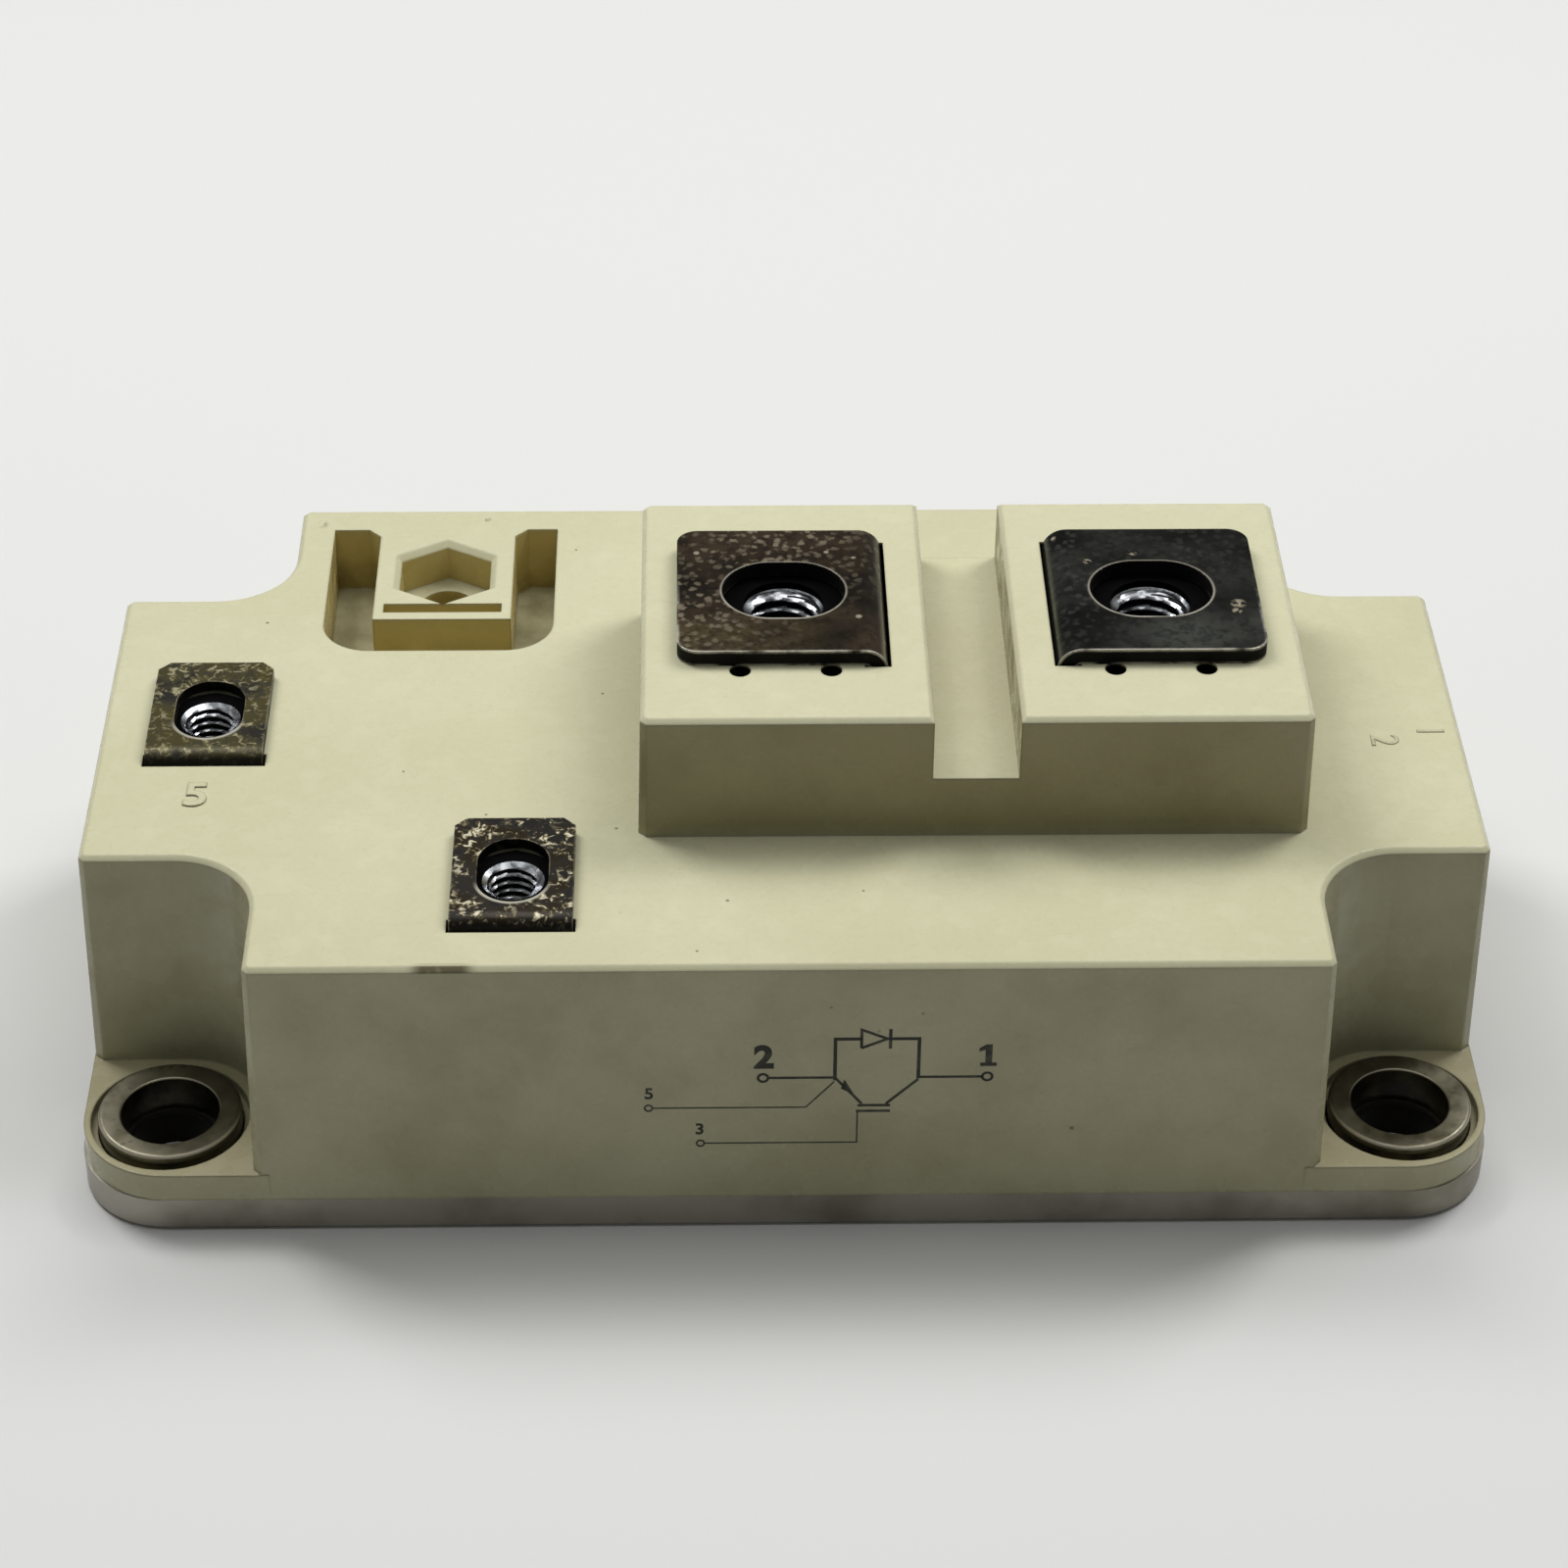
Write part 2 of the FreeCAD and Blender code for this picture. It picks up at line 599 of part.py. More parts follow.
def add_underside(body):
    """Roof round the recess, bosses under the small nuts and cores inside the towers."""
    left = SPARE_X - mm.spare_left - mm.wall_thick
    right = SPARE_X + mm.spare_right + mm.wall_thick
    front = SPARE_Y - mm.spare_front - mm.wall_thick
    back = SPARE_Y + mm.spare_back + mm.wall_thick / 2
    pad_up(body, box_corners(left, right, front, back), RECESS_FLOOR - mm.wall_thick, ROOF_LOW)
    bosses = new_sketch(body, "XY_Plane", BOSS_LOW)
    for centre in list(AUX.values()) + [(SPARE_X, SPARE_Y)]:
        add_circle(bosses, centre, BOSS_RADIUS)
    extrude(body, "Pad", bosses, ROOF_LOW - BOSS_LOW)
    cores = new_sketch(body, "XY_Plane", PLATE_TOP)
    core_near = (mm.main_nut_flats + mm.nut_gap * 2) * HEX_POINT + mm.core_gap
    core_far = mm.tower_wide / 2 - mm.wall_thick
    for side, x in MAIN_X.items():
        outer = x - (mm.tower_long / 2 - mm.wall_thick) * FOLD_SIDE[side]
        slot = x + (mm.main_reach - mm.main_thick - mm.main_bend) * FOLD_SIDE[side]
        inner = slot - mm.core_gap / 2 * FOLD_SIDE[side]
        for y_sign in ENDS.values():
            add_outline(cores, box_corners(outer, inner, core_near * y_sign, core_far * y_sign))
    extrude(body, "Pocket", cores, GROOVE_FLOOR - PLATE_TOP, reverse=True)


def add_ring_seats(body):
    centres = [centre for _, centre in mounting_holes()]
    bore_down(body, [(centre, SEAT_RADIUS) for centre in centres], EAR_TOP, PLATE_TOP)
    bore_down(body, [(centre, RELIEF_RADIUS) for centre in centres], EAR_TOP, EAR_TOP - mm.ring_relief_deep)


def add_nut_pocket(body, centre, nut_flats, top, nut_low, room, deep):
    """Chamfered hexagon pocket for a nut, with room for the screw's end under it."""
    flats = nut_flats + mm.nut_gap * 2
    pocket_down(body, hexagon_corners(centre, flats), top, nut_low - mm.nut_gap)
    axis = Vector(number_of(centre[0]), number_of(centre[1]), top.number)
    reach = flats.number / 2
    dress(body, "Chamfer", mm.pocket_edge, lambda edge: lies_at(edge, top) and is_near(edge, axis, reach))
    bore_down(body, [(centre, room / 2)], top, top - deep)


def is_near(edge, axis, reach):
    """True where an edge's middle lies at a distance from a point."""
    return abs(edge.CenterOfMass.distanceToPoint(axis) - reach) < TOUCH


def add_main_pockets(body):
    """Nut pocket, sheet slot and two core holes in each tower."""
    for side, x in MAIN_X.items():
        sizes = (mm.main_nut_flats, TOWER_TOP, MAIN_NUT_LOW, mm.main_screw_room, mm.main_screw_deep)
        add_nut_pocket(body, (x, mm.main_y), *sizes)
        outer = x + (mm.main_reach + mm.sheet_gap) * FOLD_SIDE[side]
        inner = x + (mm.main_reach - mm.main_thick - mm.main_bend) * FOLD_SIDE[side]
        half = mm.main_wide / 2 + mm.sheet_gap
        slot = box_corners(inner, outer, mm.main_y - half, mm.main_y + half)
        pocket_down(body, slot, TOWER_TOP, PLATE_TOP)
        peep_y = mm.main_y - mm.peep_offset
        peeps = [((x + mm.peep_pitch / 2 * x_sign, peep_y), mm.peep_bore / 2) for x_sign in SIDES.values()]
        bore_down(body, peeps, TOWER_TOP, TOWER_TOP - mm.peep_deep)


def add_small_pocket(body, centre):
    """Nut pocket of one small position."""
    add_nut_pocket(body, centre, mm.aux_nut_flats, BODY_TOP, AUX_NUT_LOW, mm.aux_screw_room, mm.aux_screw_deep)


def add_small_slot(body, x, long, y_span):
    """Slot through the roof, centred on a place along X, between two places along Y."""
    pocket_down(body, box_corners(x - long / 2, x + long / 2, *y_span), BODY_TOP, PLATE_TOP)


def make_housing():
    body = new_body("housing")
    add_shell(body)
    add_underside(body)
    add_ring_seats(body)
    add_main_pockets(body)
    for x, y in AUX.values():
        add_small_pocket(body, (x, y))
        fold = y - mm.aux_reach
        y_span = (fold - mm.sheet_gap, fold + mm.aux_thick + mm.aux_bend)
        add_small_slot(body, x, mm.aux_wide + mm.sheet_gap * 2, y_span)
    pocket_down(body, recess_corners(), BODY_TOP, RECESS_FLOOR)
    add_small_pocket(body, (SPARE_X, SPARE_Y))
    slit = SPARE_Y - mm.slit_offset
    add_small_slot(body, SPARE_X, mm.slit_long, (slit - mm.slit_wide / 2, slit + mm.slit_wide / 2))
    return body


# Rings and nuts, each built round its own axis and then placed

def make_ring(name, centre):
    body = new_body(f"mounting_ring_{name}")
    inner = mm.ring_inner / 2
    outer = mm.ring_outer / 2
    high = mm.ear_thick + mm.ring_proud
    turn(body, "Revolution", [
        (inner, ZERO),
        (outer, ZERO),
        (outer, high - mm.ring_edge),
        (outer - mm.ring_edge, high),
        (inner, high),
    ])
    place_at(body, centre[0], centre[1], PLATE_TOP)
    return body


def make_nut(name, flats, high, bore, place):
    body = new_body(name)
    centre = (ZERO, ZERO)
    pad_up(body, hexagon_corners(centre, flats), ZERO, high)
    bore_down(body, [(centre, bore / 2)], high, ZERO)
    point = flats * HEX_POINT
    drop = (point - flats / 2) * NUT_BEVEL
    turn(body, "Groove", [
        (flats / 2, high),
        (point, high - drop),
        (point + drop, high - drop),
        (point + drop, high + drop),
        (flats / 2, high + drop),
    ])
    place_at(body, *place)
    return body


# Main terminals, each one folded sheet from its screw hole down to both substrates

def pad_strip(body, x, side, path, y_high, width):
    """Pad an edge-on outline towards the front from y_high; path runs out from x to the fold's side."""
    sketch = new_sketch(body, "XZ_Plane", -y_high)
    corners = strip_corners(path, mm.main_thick, mm.main_bend)
    add_outline(sketch, [(x + corner[0] * side,) + corner[1:] for corner in corners])
    return extrude(body, "Pad", sketch, width)


def add_main_head(body, x, side, leg_low):
    """Head with its oblong hole, the fold and the upper leg."""
    inner = mm.main_reach - mm.main_thick
    path = [(-mm.main_tail, TOWER_TOP), (inner, TOWER_TOP), (inner, leg_low)]
    pad_strip(body, x, side, path, HEAD_BACK, mm.main_wide)
    tail = x - mm.main_tail * side
    dress(body, "Fillet", mm.main_corner, lambda edge: stands_at(edge, 0, tail))
    sketch = new_sketch(body, "XY_Plane", mm.total_high)
    add_slot(sketch, (x, mm.main_y), mm.main_slot_long, mm.main_slot_wide)
    extrude(body, "Pocket", sketch, mm.main_thick)


def foot_path(top):
    """Leg that comes straight down and turns under the head as a soldered foot."""
    inner = mm.main_reach - mm.main_thick
    sole = TRACK_TOP + mm.main_thick
    return [(inner, top), (inner, sole), (inner - mm.foot_long, sole)]


def make_emitter():
    body = new_body("terminal_emitter")
    x = MAIN_X["left"]
    side = FOLD_SIDE["left"]
    bar_top = TRACK_TOP + mm.emitter_level + mm.main_thick
    split = bar_top + mm.main_thick + mm.main_bend
    add_main_head(body, x, side, split)
    inner = mm.main_reach - mm.main_thick
    near = SUBSTRATE_NEAR + mm.copper_margin + mm.foot_inset
    far = near + mm.main_thick
    right_branch = [
        (inner, split),
        (inner, bar_top),
        (near, bar_top),
        (near, TRACK_TOP),
        (far + mm.foot_long, TRACK_TOP),
    ]
    left_branch = [
        (inner, split),
        (inner, bar_top),
        (-far, bar_top),
        (-far, TRACK_TOP + mm.main_thick),
        (-far - mm.foot_long, TRACK_TOP + mm.main_thick),
    ]
    pad_strip(body, x, side, right_branch, HEAD_FRONT + mm.emitter_wide, mm.emitter_wide)
    pad_strip(body, x, side, left_branch, HEAD_BACK, mm.emitter_wide)
    return body


def make_collector():
    body = new_body("terminal_collector")
    x = MAIN_X["right"]
    side = FOLD_SIDE["right"]
    bar_low = TRACK_TOP + mm.collector_level
    bar_top = bar_low + mm.main_thick
    arm_low = bar_top - mm.collector_wide
    add_main_head(body, x, side, bar_top)
    far = mm.collector_offset + mm.collector_wide / 2
    joint = bar_low - mm.main_bend * 2
    arm = new_sketch(body, "YZ_Plane", x - mm.main_reach)
    add_outline(arm, [
        (HEAD_FRONT, bar_top),
        (HEAD_FRONT, arm_low, mm.main_corner),
        (far, arm_low),
        (far, joint),
        (HEAD_BACK, joint),
        (HEAD_BACK, bar_top),
    ])
    extrude(body, "Pad", arm, mm.main_thick)
    pad_strip(body, x, side, foot_path(arm_low), far, mm.collector_wide)
    bar_end = mm.main_pitch * 2 - mm.main_reach - mm.main_thick
    sole = TRACK_TOP + mm.main_thick
    bar = [
        (mm.main_reach, joint),
        (mm.main_reach, bar_low),
        (bar_end, bar_low),
        (bar_end, sole),
        (bar_end - mm.foot_long, sole),
    ]
    pad_strip(body, x, side, bar, far, mm.collector_wide)
    return body


# Auxiliary terminals

def make_auxiliary(name, centre):
    body = new_body(name)
    x, y = centre
    inner = mm.aux_reach - mm.aux_thick
    leg_top = ROOF_LOW - mm.aux_thick
    for path, width in (
        ([(-mm.aux_tail, BODY_TOP), (inner, BODY_TOP), (inner, leg_top)], mm.aux_wide),
        ([(inner, leg_top), (inner, mm.aux_leg_low)], mm.aux_leg_wide),
    ):
        sketch = new_sketch(body, "YZ_Plane", x)
        corners = strip_corners(path, mm.aux_thick, mm.aux_bend)
        add_outline(sketch, [(y - corner[0],) + corner[1:] for corner in corners])
        extrude(body, "Pad", sketch, width, both_ways=True)
    tail = y + mm.aux_tail
    dress(body, "Chamfer", mm.aux_corner, lambda edge: stands_at(edge, 1, tail))
    hole = new_sketch(body, "XY_Plane", BODY_TOP + mm.aux_thick)
    add_slot(hole, centre, mm.aux_slot_long, mm.aux_slot_wide)
    extrude(body, "Pocket", hole, mm.aux_thick)
    return body


# Substrates, tracks and chips

def make_slab(name, x_span, y_span, z_span):
    """Box between pairs of bounds."""
    box = doc.addObject("Part::Box", name)
    box.Label = name
    for length, span in (("Length", x_span), ("Width", y_span), ("Height", z_span)):
        box.setExpression(length, (span[1] - span[0]).text)
    place_at(box, x_span[0], y_span[0], z_span[0])
    return box


def span_from(side, near, far):
    """Bounds along X at a distance from the middle, on the side given by its sign."""
    return (near, far) if SIDES[side] > 0 else (-far, -near)


COPPER_NEAR = SUBSTRATE_NEAR + mm.copper_margin
COPPER_FAR = SUBSTRATE_FAR - mm.copper_margin
COPPER_Y = SUBSTRATE_Y - mm.copper_margin
SENSE_NEAR = COPPER_FAR - mm.lead_track
GATE_FAR = SENSE_NEAR - mm.track_gap
GATE_NEAR = GATE_FAR - mm.lead_track
EMITTER_FAR = COPPER_NEAR + mm.emitter_track
CHIPS_FRONT = mm.chip_gap - COPPER_Y
CHIPS_BACK = mm.collector_offset - mm.collector_wide / 2 - mm.foot_room
CHIP_PITCH = (CHIPS_BACK - CHIPS_FRONT + mm.chip_gap) / len(CHIP_PAIRS)
DIODE_WIDE = CHIP_PITCH - mm.transistor_side - mm.chip_gap * 2
TRACKS = {
    "emitter": (COPPER_NEAR, EMITTER_FAR),
    "collector": (EMITTER_FAR + mm.track_gap, GATE_NEAR - mm.track_gap),
    "gate": (GATE_NEAR, GATE_FAR),
    "sense": (SENSE_NEAR, COPPER_FAR),
}


def make_substrate(side):
    copper_x = span_from(side, COPPER_NEAR, COPPER_FAR)
    copper_y = (-COPPER_Y, COPPER_Y)
    ceramic_x = span_from(side, SUBSTRATE_NEAR, SUBSTRATE_FAR)
    parts = [
        make_slab(f"back_copper_{side}", copper_x, copper_y, (PLATE_TOP, CERAMIC_LOW)),
        make_slab(f"ceramic_{side}", ceramic_x, (-SUBSTRATE_Y, SUBSTRATE_Y), (CERAMIC_LOW, TRACK_LOW)),
    ]
    for name, (near, far) in TRACKS.items():
        track_x = span_from(side, near, far)
        parts.append(make_slab(f"{name}_track_{side}", track_x, copper_y, (TRACK_LOW, TRACK_TOP)))
    return parts


def track_middle(name):
    """Distance of a track's middle line from the middle of the module."""
    near, far = TRACKS[name]
    return (near + far) / 2


def chip_rows():
    """The chips of one substrate from front to back: kind, number, size along X, and bounds along Y."""
    low = CHIPS_FRONT
    for number in CHIP_PAIRS:
        for kind, long, wide in (
            ("transistor", mm.transistor_side, mm.transistor_side),
            ("diode", mm.diode_long, DIODE_WIDE),
        ):
            yield kind, number, long, (low, low + wide)
            low = low + wide + mm.chip_gap


def make_chips(side):
    middle = track_middle("collector")
    chips = []
    for kind, number, long, y_span in chip_rows():
        x_span = span_from(side, middle - long / 2, middle + long / 2)
        chips.append(make_slab(f"{kind}_chip_{side}_{number}", x_span, y_span, (TRACK_TOP, CHIP_TOP)))
    return chips


# Bond wires and lead wires, each a hexagonal bar along a route of straight runs

def sweep(points, radius):
    """Bar through the points, mitred at their corners."""
    route = Part.makePolygon(points)
    turned = FreeCAD.Rotation(Vector(0, 0, 1), points[1] - points[0])
    section = []
    for angle in HEX_ANGLES:
        arm = Vector(radius * math.cos(angle), radius * math.sin(angle), 0)
        section.append(points[0] + turned.multVec(arm))
    outline = Part.makePolygon(section + section[:1])
    return route.makePipeShell([outline], True, False, MITRED)


def make_wires(name, solids):
    part = doc.addObject("Part::Feature", name)
    part.Label = name
    part.Shape = Part.makeCompound(solids) if len(solids) > 1 else solids[0]
    return part


def bond(x_start, x_end, y, z_start, z_end):
    """One arched bond wire, whose ends stand on the chip and on the track."""
    start = Vector(x_start, y, z_start)
    end = Vector(x_end, y, z_end)
    rise = Vector(0, 0, mm.wire_rise.number)
    crown = (start + end) / 2 + rise
    shoulder = rise * SHOULDER
    return sweep([start, start + shoulder, crown, end + shoulder, end], mm.wire_bore.number / 2)


def make_bonds(side):
    """Power bonds from the chips to the emitter track, and gate bonds to the gate track."""
    sign = SIDES[side]
    middle = track_middle("collector").number
    land = (EMITTER_FAR - mm.wire_land).number
    pitch = mm.wire_pitch.number
    power = []
    gates = []
    for kind, _, long, y_span in chip_rows():
        low = (y_span[0] + mm.wire_margin).number
        high = (y_span[1] - mm.wire_margin).number
        gaps = int((high - low) / pitch)
        first = (low + high - gaps * pitch) / 2
        for index in range(gaps + 1):
            y = first + index * pitch
            power.append(bond(middle * sign, land * sign, y, CHIP_TOP.number, TRACK_TOP.number))
        if kind == "transistor":
            pad = (track_middle("collector") + long / 2 - mm.chip_gap).number
            gate = track_middle("gate").number
            y = (low + high) / 2
            gates.append(bond(pad * sign, gate * sign, y, CHIP_TOP.number, TRACK_TOP.number))
    return [make_wires(f"power_bonds_{side}", power), make_wires(f"gate_bonds_{side}", gates)]


def make_lead(name, side, centre, level, land, track):
    """Lead wire from an auxiliary leg's lower end to its track on one substrate."""
    sign = SIDES[side]
    leg_x = (centre[0] + mm.aux_leg_wide / 4 * sign).number
    leg_y = (centre[1] - mm.aux_reach + mm.aux_thick / 2).number
    level_z = (TRACK_TOP + level).number
    end_x = (track_middle(track) * sign).number
    end_y = -land.number
    route = [
        Vector(leg_x, leg_y, mm.aux_leg_low.number),
        Vector(leg_x, leg_y, level_z),
        Vector(end_x, end_y, level_z),
        Vector(end_x, end_y, TRACK_TOP.number),
    ]
    return make_wires(name, [sweep(route, mm.lead_bore.number / 2)])


# Gel, cut round what passes through it

def make_gel(inside):
    body = new_body("gel_block")
    pad_up(body, cross_corners(mm.wall_thick), PLATE_TOP, PLATE_TOP + mm.gel_level)
    open_space = box_corners(-SUBSTRATE_FAR, SUBSTRATE_FAR, -SUBSTRATE_Y, SUBSTRATE_Y)
    pocket_down(body, open_space, TRACK_TOP + mm.gel_pocket, PLATE_TOP)
    tools = doc.addObject("Part::MultiFuse", "gel_tools")
    tools.Shapes = inside
    gel = doc.addObject("Part::Cut", "silicone_gel")
    gel.Label = "silicone_gel"
    gel.Base = body
    gel.Tool = tools
    return gel


# Assembly

def make_module():
    parts = [make_base_plate(), make_housing()]
    parts += [make_ring(name, centre) for name, centre in mounting_holes()]
    main_sizes = (mm.main_nut_flats, mm.main_nut_high, mm.main_nut_bore)
    for side, x in MAIN_X.items():
        parts.append(make_nut(f"main_nut_{side}", *main_sizes, (x, mm.main_y, MAIN_NUT_LOW)))
    small_sizes = (mm.aux_nut_flats, mm.aux_nut_high, mm.aux_nut_bore)
    for side, (x, y) in AUX.items():
        parts.append(make_nut(f"small_nut_{side}", *small_sizes, (x, y, AUX_NUT_LOW)))
    terminals = [make_emitter(), make_collector()]
    legs = [make_auxiliary("terminal_sense", AUX["left"]), make_auxiliary("terminal_gate", AUX["front"])]
    leads = []
    for side in SIDES:
        parts += make_substrate(side)
        parts += make_chips(side)
        parts += make_bonds(side)
        leads.append(make_lead(f"gate_lead_{side}", side, AUX["front"], mm.gate_level, mm.gate_land, "gate"))
        leads.append(make_lead(f"sense_lead_{side}", side, AUX["left"], mm.sense_level, mm.sense_land, "sense"))
    doc.recompute()
    gel = make_gel(terminals + legs + leads)
    doc.recompute()
    return parts + terminals + legs + leads + [gel]


# Checks and export

def check_document():
    """Stop where an object failed or a cut removed nothing."""
    volumes = {}
    for item in doc.Objects:
        if "Invalid" in item.State or "Error" in item.State:
            raise RuntimeError(f"{item.Label} ({item.TypeId}) failed: {item.State}")
        if not item.isDerivedFrom("PartDesign::Feature"):
            continue
        volumes[item.Name] = item.Shape.Volume
        if item.TypeId in ("PartDesign::Pocket", "PartDesign::Groove"):
            if volumes[item.Name] > volumes[item.BaseFeature.Name] - TOUCH:
                raise RuntimeError(f"{item.Label} cuts nothing")


def export_part(part):
    shape = part.Shape
    if shape.isNull() or not shape.isValid() or not shape.Solids:
        raise RuntimeError(f"{part.Label} has no valid shape")
    shape.exportStep(f"parts/{part.Label}.step")
    box = shape.optimalBoundingBox()
    print(f"{part.Label}: {len(shape.Solids)} solid(s), {shape.Volume:.2f} mm3, z {box.ZMin:.2f} to {box.ZMax:.2f}")


os.makedirs("parts", exist_ok=True)
module_parts = make_module()
check_document()
for module_part in module_parts:
    export_part(module_part)
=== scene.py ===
import bmesh
import bpy
import json
import math
from mathutils import Matrix, Vector


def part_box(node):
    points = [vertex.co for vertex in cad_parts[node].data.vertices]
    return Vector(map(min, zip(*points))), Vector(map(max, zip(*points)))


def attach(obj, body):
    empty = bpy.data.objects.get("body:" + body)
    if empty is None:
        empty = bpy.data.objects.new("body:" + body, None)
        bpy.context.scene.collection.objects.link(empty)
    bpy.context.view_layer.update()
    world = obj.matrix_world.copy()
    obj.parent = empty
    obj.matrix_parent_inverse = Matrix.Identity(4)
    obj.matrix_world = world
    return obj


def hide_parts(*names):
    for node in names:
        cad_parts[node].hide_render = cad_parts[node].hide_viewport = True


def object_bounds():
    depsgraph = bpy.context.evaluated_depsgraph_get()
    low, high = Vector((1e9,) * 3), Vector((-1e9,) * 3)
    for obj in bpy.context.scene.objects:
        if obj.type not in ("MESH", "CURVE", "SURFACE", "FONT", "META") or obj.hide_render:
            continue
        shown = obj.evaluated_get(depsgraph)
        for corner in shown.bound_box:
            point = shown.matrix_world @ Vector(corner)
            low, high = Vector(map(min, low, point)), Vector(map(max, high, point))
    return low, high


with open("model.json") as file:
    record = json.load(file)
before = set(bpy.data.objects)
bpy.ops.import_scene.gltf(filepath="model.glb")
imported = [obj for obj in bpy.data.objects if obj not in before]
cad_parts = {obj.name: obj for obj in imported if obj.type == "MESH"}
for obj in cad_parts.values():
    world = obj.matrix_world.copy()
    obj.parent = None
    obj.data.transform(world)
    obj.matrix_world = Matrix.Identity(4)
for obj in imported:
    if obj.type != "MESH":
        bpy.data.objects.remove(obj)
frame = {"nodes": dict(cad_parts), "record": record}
cad_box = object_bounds()
NODES = frame["nodes"]
MM = 0.001


def centre_of(node):
    """Middle of a node's box."""
    low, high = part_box(node)
    return tuple((a + b) / 2 for a, b in zip(low, high))


# Places read from the frame, in metres

CASE_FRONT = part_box("housing")[0][1]
PLATE_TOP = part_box("base_plate")[1][2]
MAIN_TOP = cad_box[1][2]
SMALL_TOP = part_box("terminal_sense")[1][2]
HOLE_CENTRE = centre_of("mounting_ring_back_right")

# Sizes that repeat those of the solids

SMALL_THICK = 0.9 * MM
BODY_TOP = SMALL_TOP - SMALL_THICK
DRAFT = math.radians(1.3)
MAIN_HOLE = (9.4 * MM, 7.5 * MM)
SMALL_HOLE = (5.3 * MM, 7.5 * MM)


# Materials, built from nodes

BEVEL_SAMPLES = 6

# Numbers of the mix node's sockets for colours

MIX_SHARE = 0
MIX_FIRST = 6
MIX_SECOND = 7
MIX_RESULT = 2


def tone(code):
    """Linear colour of a six-digit sRGB code."""
    channels = [int(code[i:i + 2], 16) / 255 for i in (0, 2, 4)]
    linear = [c / 12.92 if c <= 0.04045 else ((c + 0.055) / 1.055) ** 2.4 for c in channels]
    return (*linear, 1.0)


class Paint:
    """A material whose node tree is put together from short calls, each of which returns a socket."""

    def __init__(self, name, metallic=0.0, roughness=0.5, specular=0.5):
        self.material = bpy.data.materials.new(name)
        self.material.use_nodes = True
        self.nodes = self.material.node_tree.nodes
        self.links = self.material.node_tree.links
        self.shader = next(node for node in self.nodes if node.type == "BSDF_PRINCIPLED")
        self.shader.inputs["Metallic"].default_value = metallic
        self.shader.inputs["Roughness"].default_value = roughness
        self.shader.inputs["Specular IOR Level"].default_value = specular
        self.place = self.nodes.new("ShaderNodeTexCoord").outputs["Object"]

    def put(self, value, socket):
        """Link a socket's value, or set a number or a colour."""
        if isinstance(value, bpy.types.NodeSocket):
            self.links.new(value, socket)
        else:
            socket.default_value = value

    def feed(self, name, value):
        self.put(value, self.shader.inputs[name])

    def shift(self, offset=(0, 0, 0), stretch=(1, 1, 1)):
        """Coordinates moved and stretched."""
        node = self.nodes.new("ShaderNodeMapping")
        self.links.new(self.place, node.inputs["Vector"])
        node.inputs["Location"].default_value = offset
        node.inputs["Scale"].default_value = stretch
        return node.outputs["Vector"]

    def noise(self, scale, detail=3.0, rough=0.5, warp=0.0, **where):
        """Noise with about scale waves to the metre."""
        node = self.nodes.new("ShaderNodeTexNoise")
        self.links.new(self.shift(**where), node.inputs["Vector"])
        node.inputs["Scale"].default_value = scale
        node.inputs["Detail"].default_value = detail
        node.inputs["Roughness"].default_value = rough
        node.inputs["Distortion"].default_value = warp
        return node.outputs["Fac"]

    def cells(self, scale, **where):
        """Distance to the nearest of scattered points, about scale of them to the metre."""
        node = self.nodes.new("ShaderNodeTexVoronoi")
        self.links.new(self.shift(**where), node.inputs["Vector"])
        node.inputs["Scale"].default_value = scale
        return node.outputs["Distance"]

    def axis(self, name):
        node = self.nodes.new("ShaderNodeSeparateXYZ")
        self.links.new(self.place, node.inputs["Vector"])
        return node.outputs[name]

    def normal(self, name):
        """A component of the surface's own normal."""
        geometry = self.nodes.new("ShaderNodeNewGeometry")
        node = self.nodes.new("ShaderNodeSeparateXYZ")
        self.links.new(geometry.outputs["Normal"], node.inputs["Vector"])
        return node.outputs[name]

    def math(self, kind, first, second=0.0):
        node = self.nodes.new("ShaderNodeMath")
        node.operation = kind
        self.put(first, node.inputs[0])
        self.put(second, node.inputs[1])
        return node.outputs[0]

    def plus(self, first, second):
        return self.math("ADD", first, second)

    def minus(self, first, second):
        return self.math("SUBTRACT", first, second)

    def times(self, first, *others):
        for other in others:
            first = self.math("MULTIPLY", first, other)
        return first

    def most(self, first, second):
        return self.math("MAXIMUM", first, second)

    def off(self, name, origin=0.0):
        """Distance to either side of an origin on an axis."""
        return self.math("ABSOLUTE", self.minus(self.axis(name), origin))

    def ease(self, value, low, high, top=1.0):
        """Smooth step from 0 at low to top at high."""
        node = self.nodes.new("ShaderNodeMapRange")
        node.interpolation_type = "SMOOTHSTEP"
        self.put(value, node.inputs["Value"])
        node.inputs["From Min"].default_value = low
        node.inputs["From Max"].default_value = high
        node.inputs["To Max"].default_value = top
        return node.outputs["Result"]

    def along(self, name, low, high, top=1.0, origin=0.0):
        """Smooth step along an axis, between two places in millimetres from an origin."""
        return self.ease(self.axis(name), origin + low * MM, origin + high * MM, top)

    def facing(self, name, low, high, top=1.0):
        """Smooth step by how far the surface faces along an axis."""
        return self.ease(self.normal(name), low, high, top)

    def blend(self, share, first, second):
        node = self.nodes.new("ShaderNodeMix")
        node.data_type = "RGBA"
        self.put(share, node.inputs[MIX_SHARE])
        self.put(first, node.inputs[MIX_FIRST])
        self.put(second, node.inputs[MIX_SECOND])
        return node.outputs[MIX_RESULT]

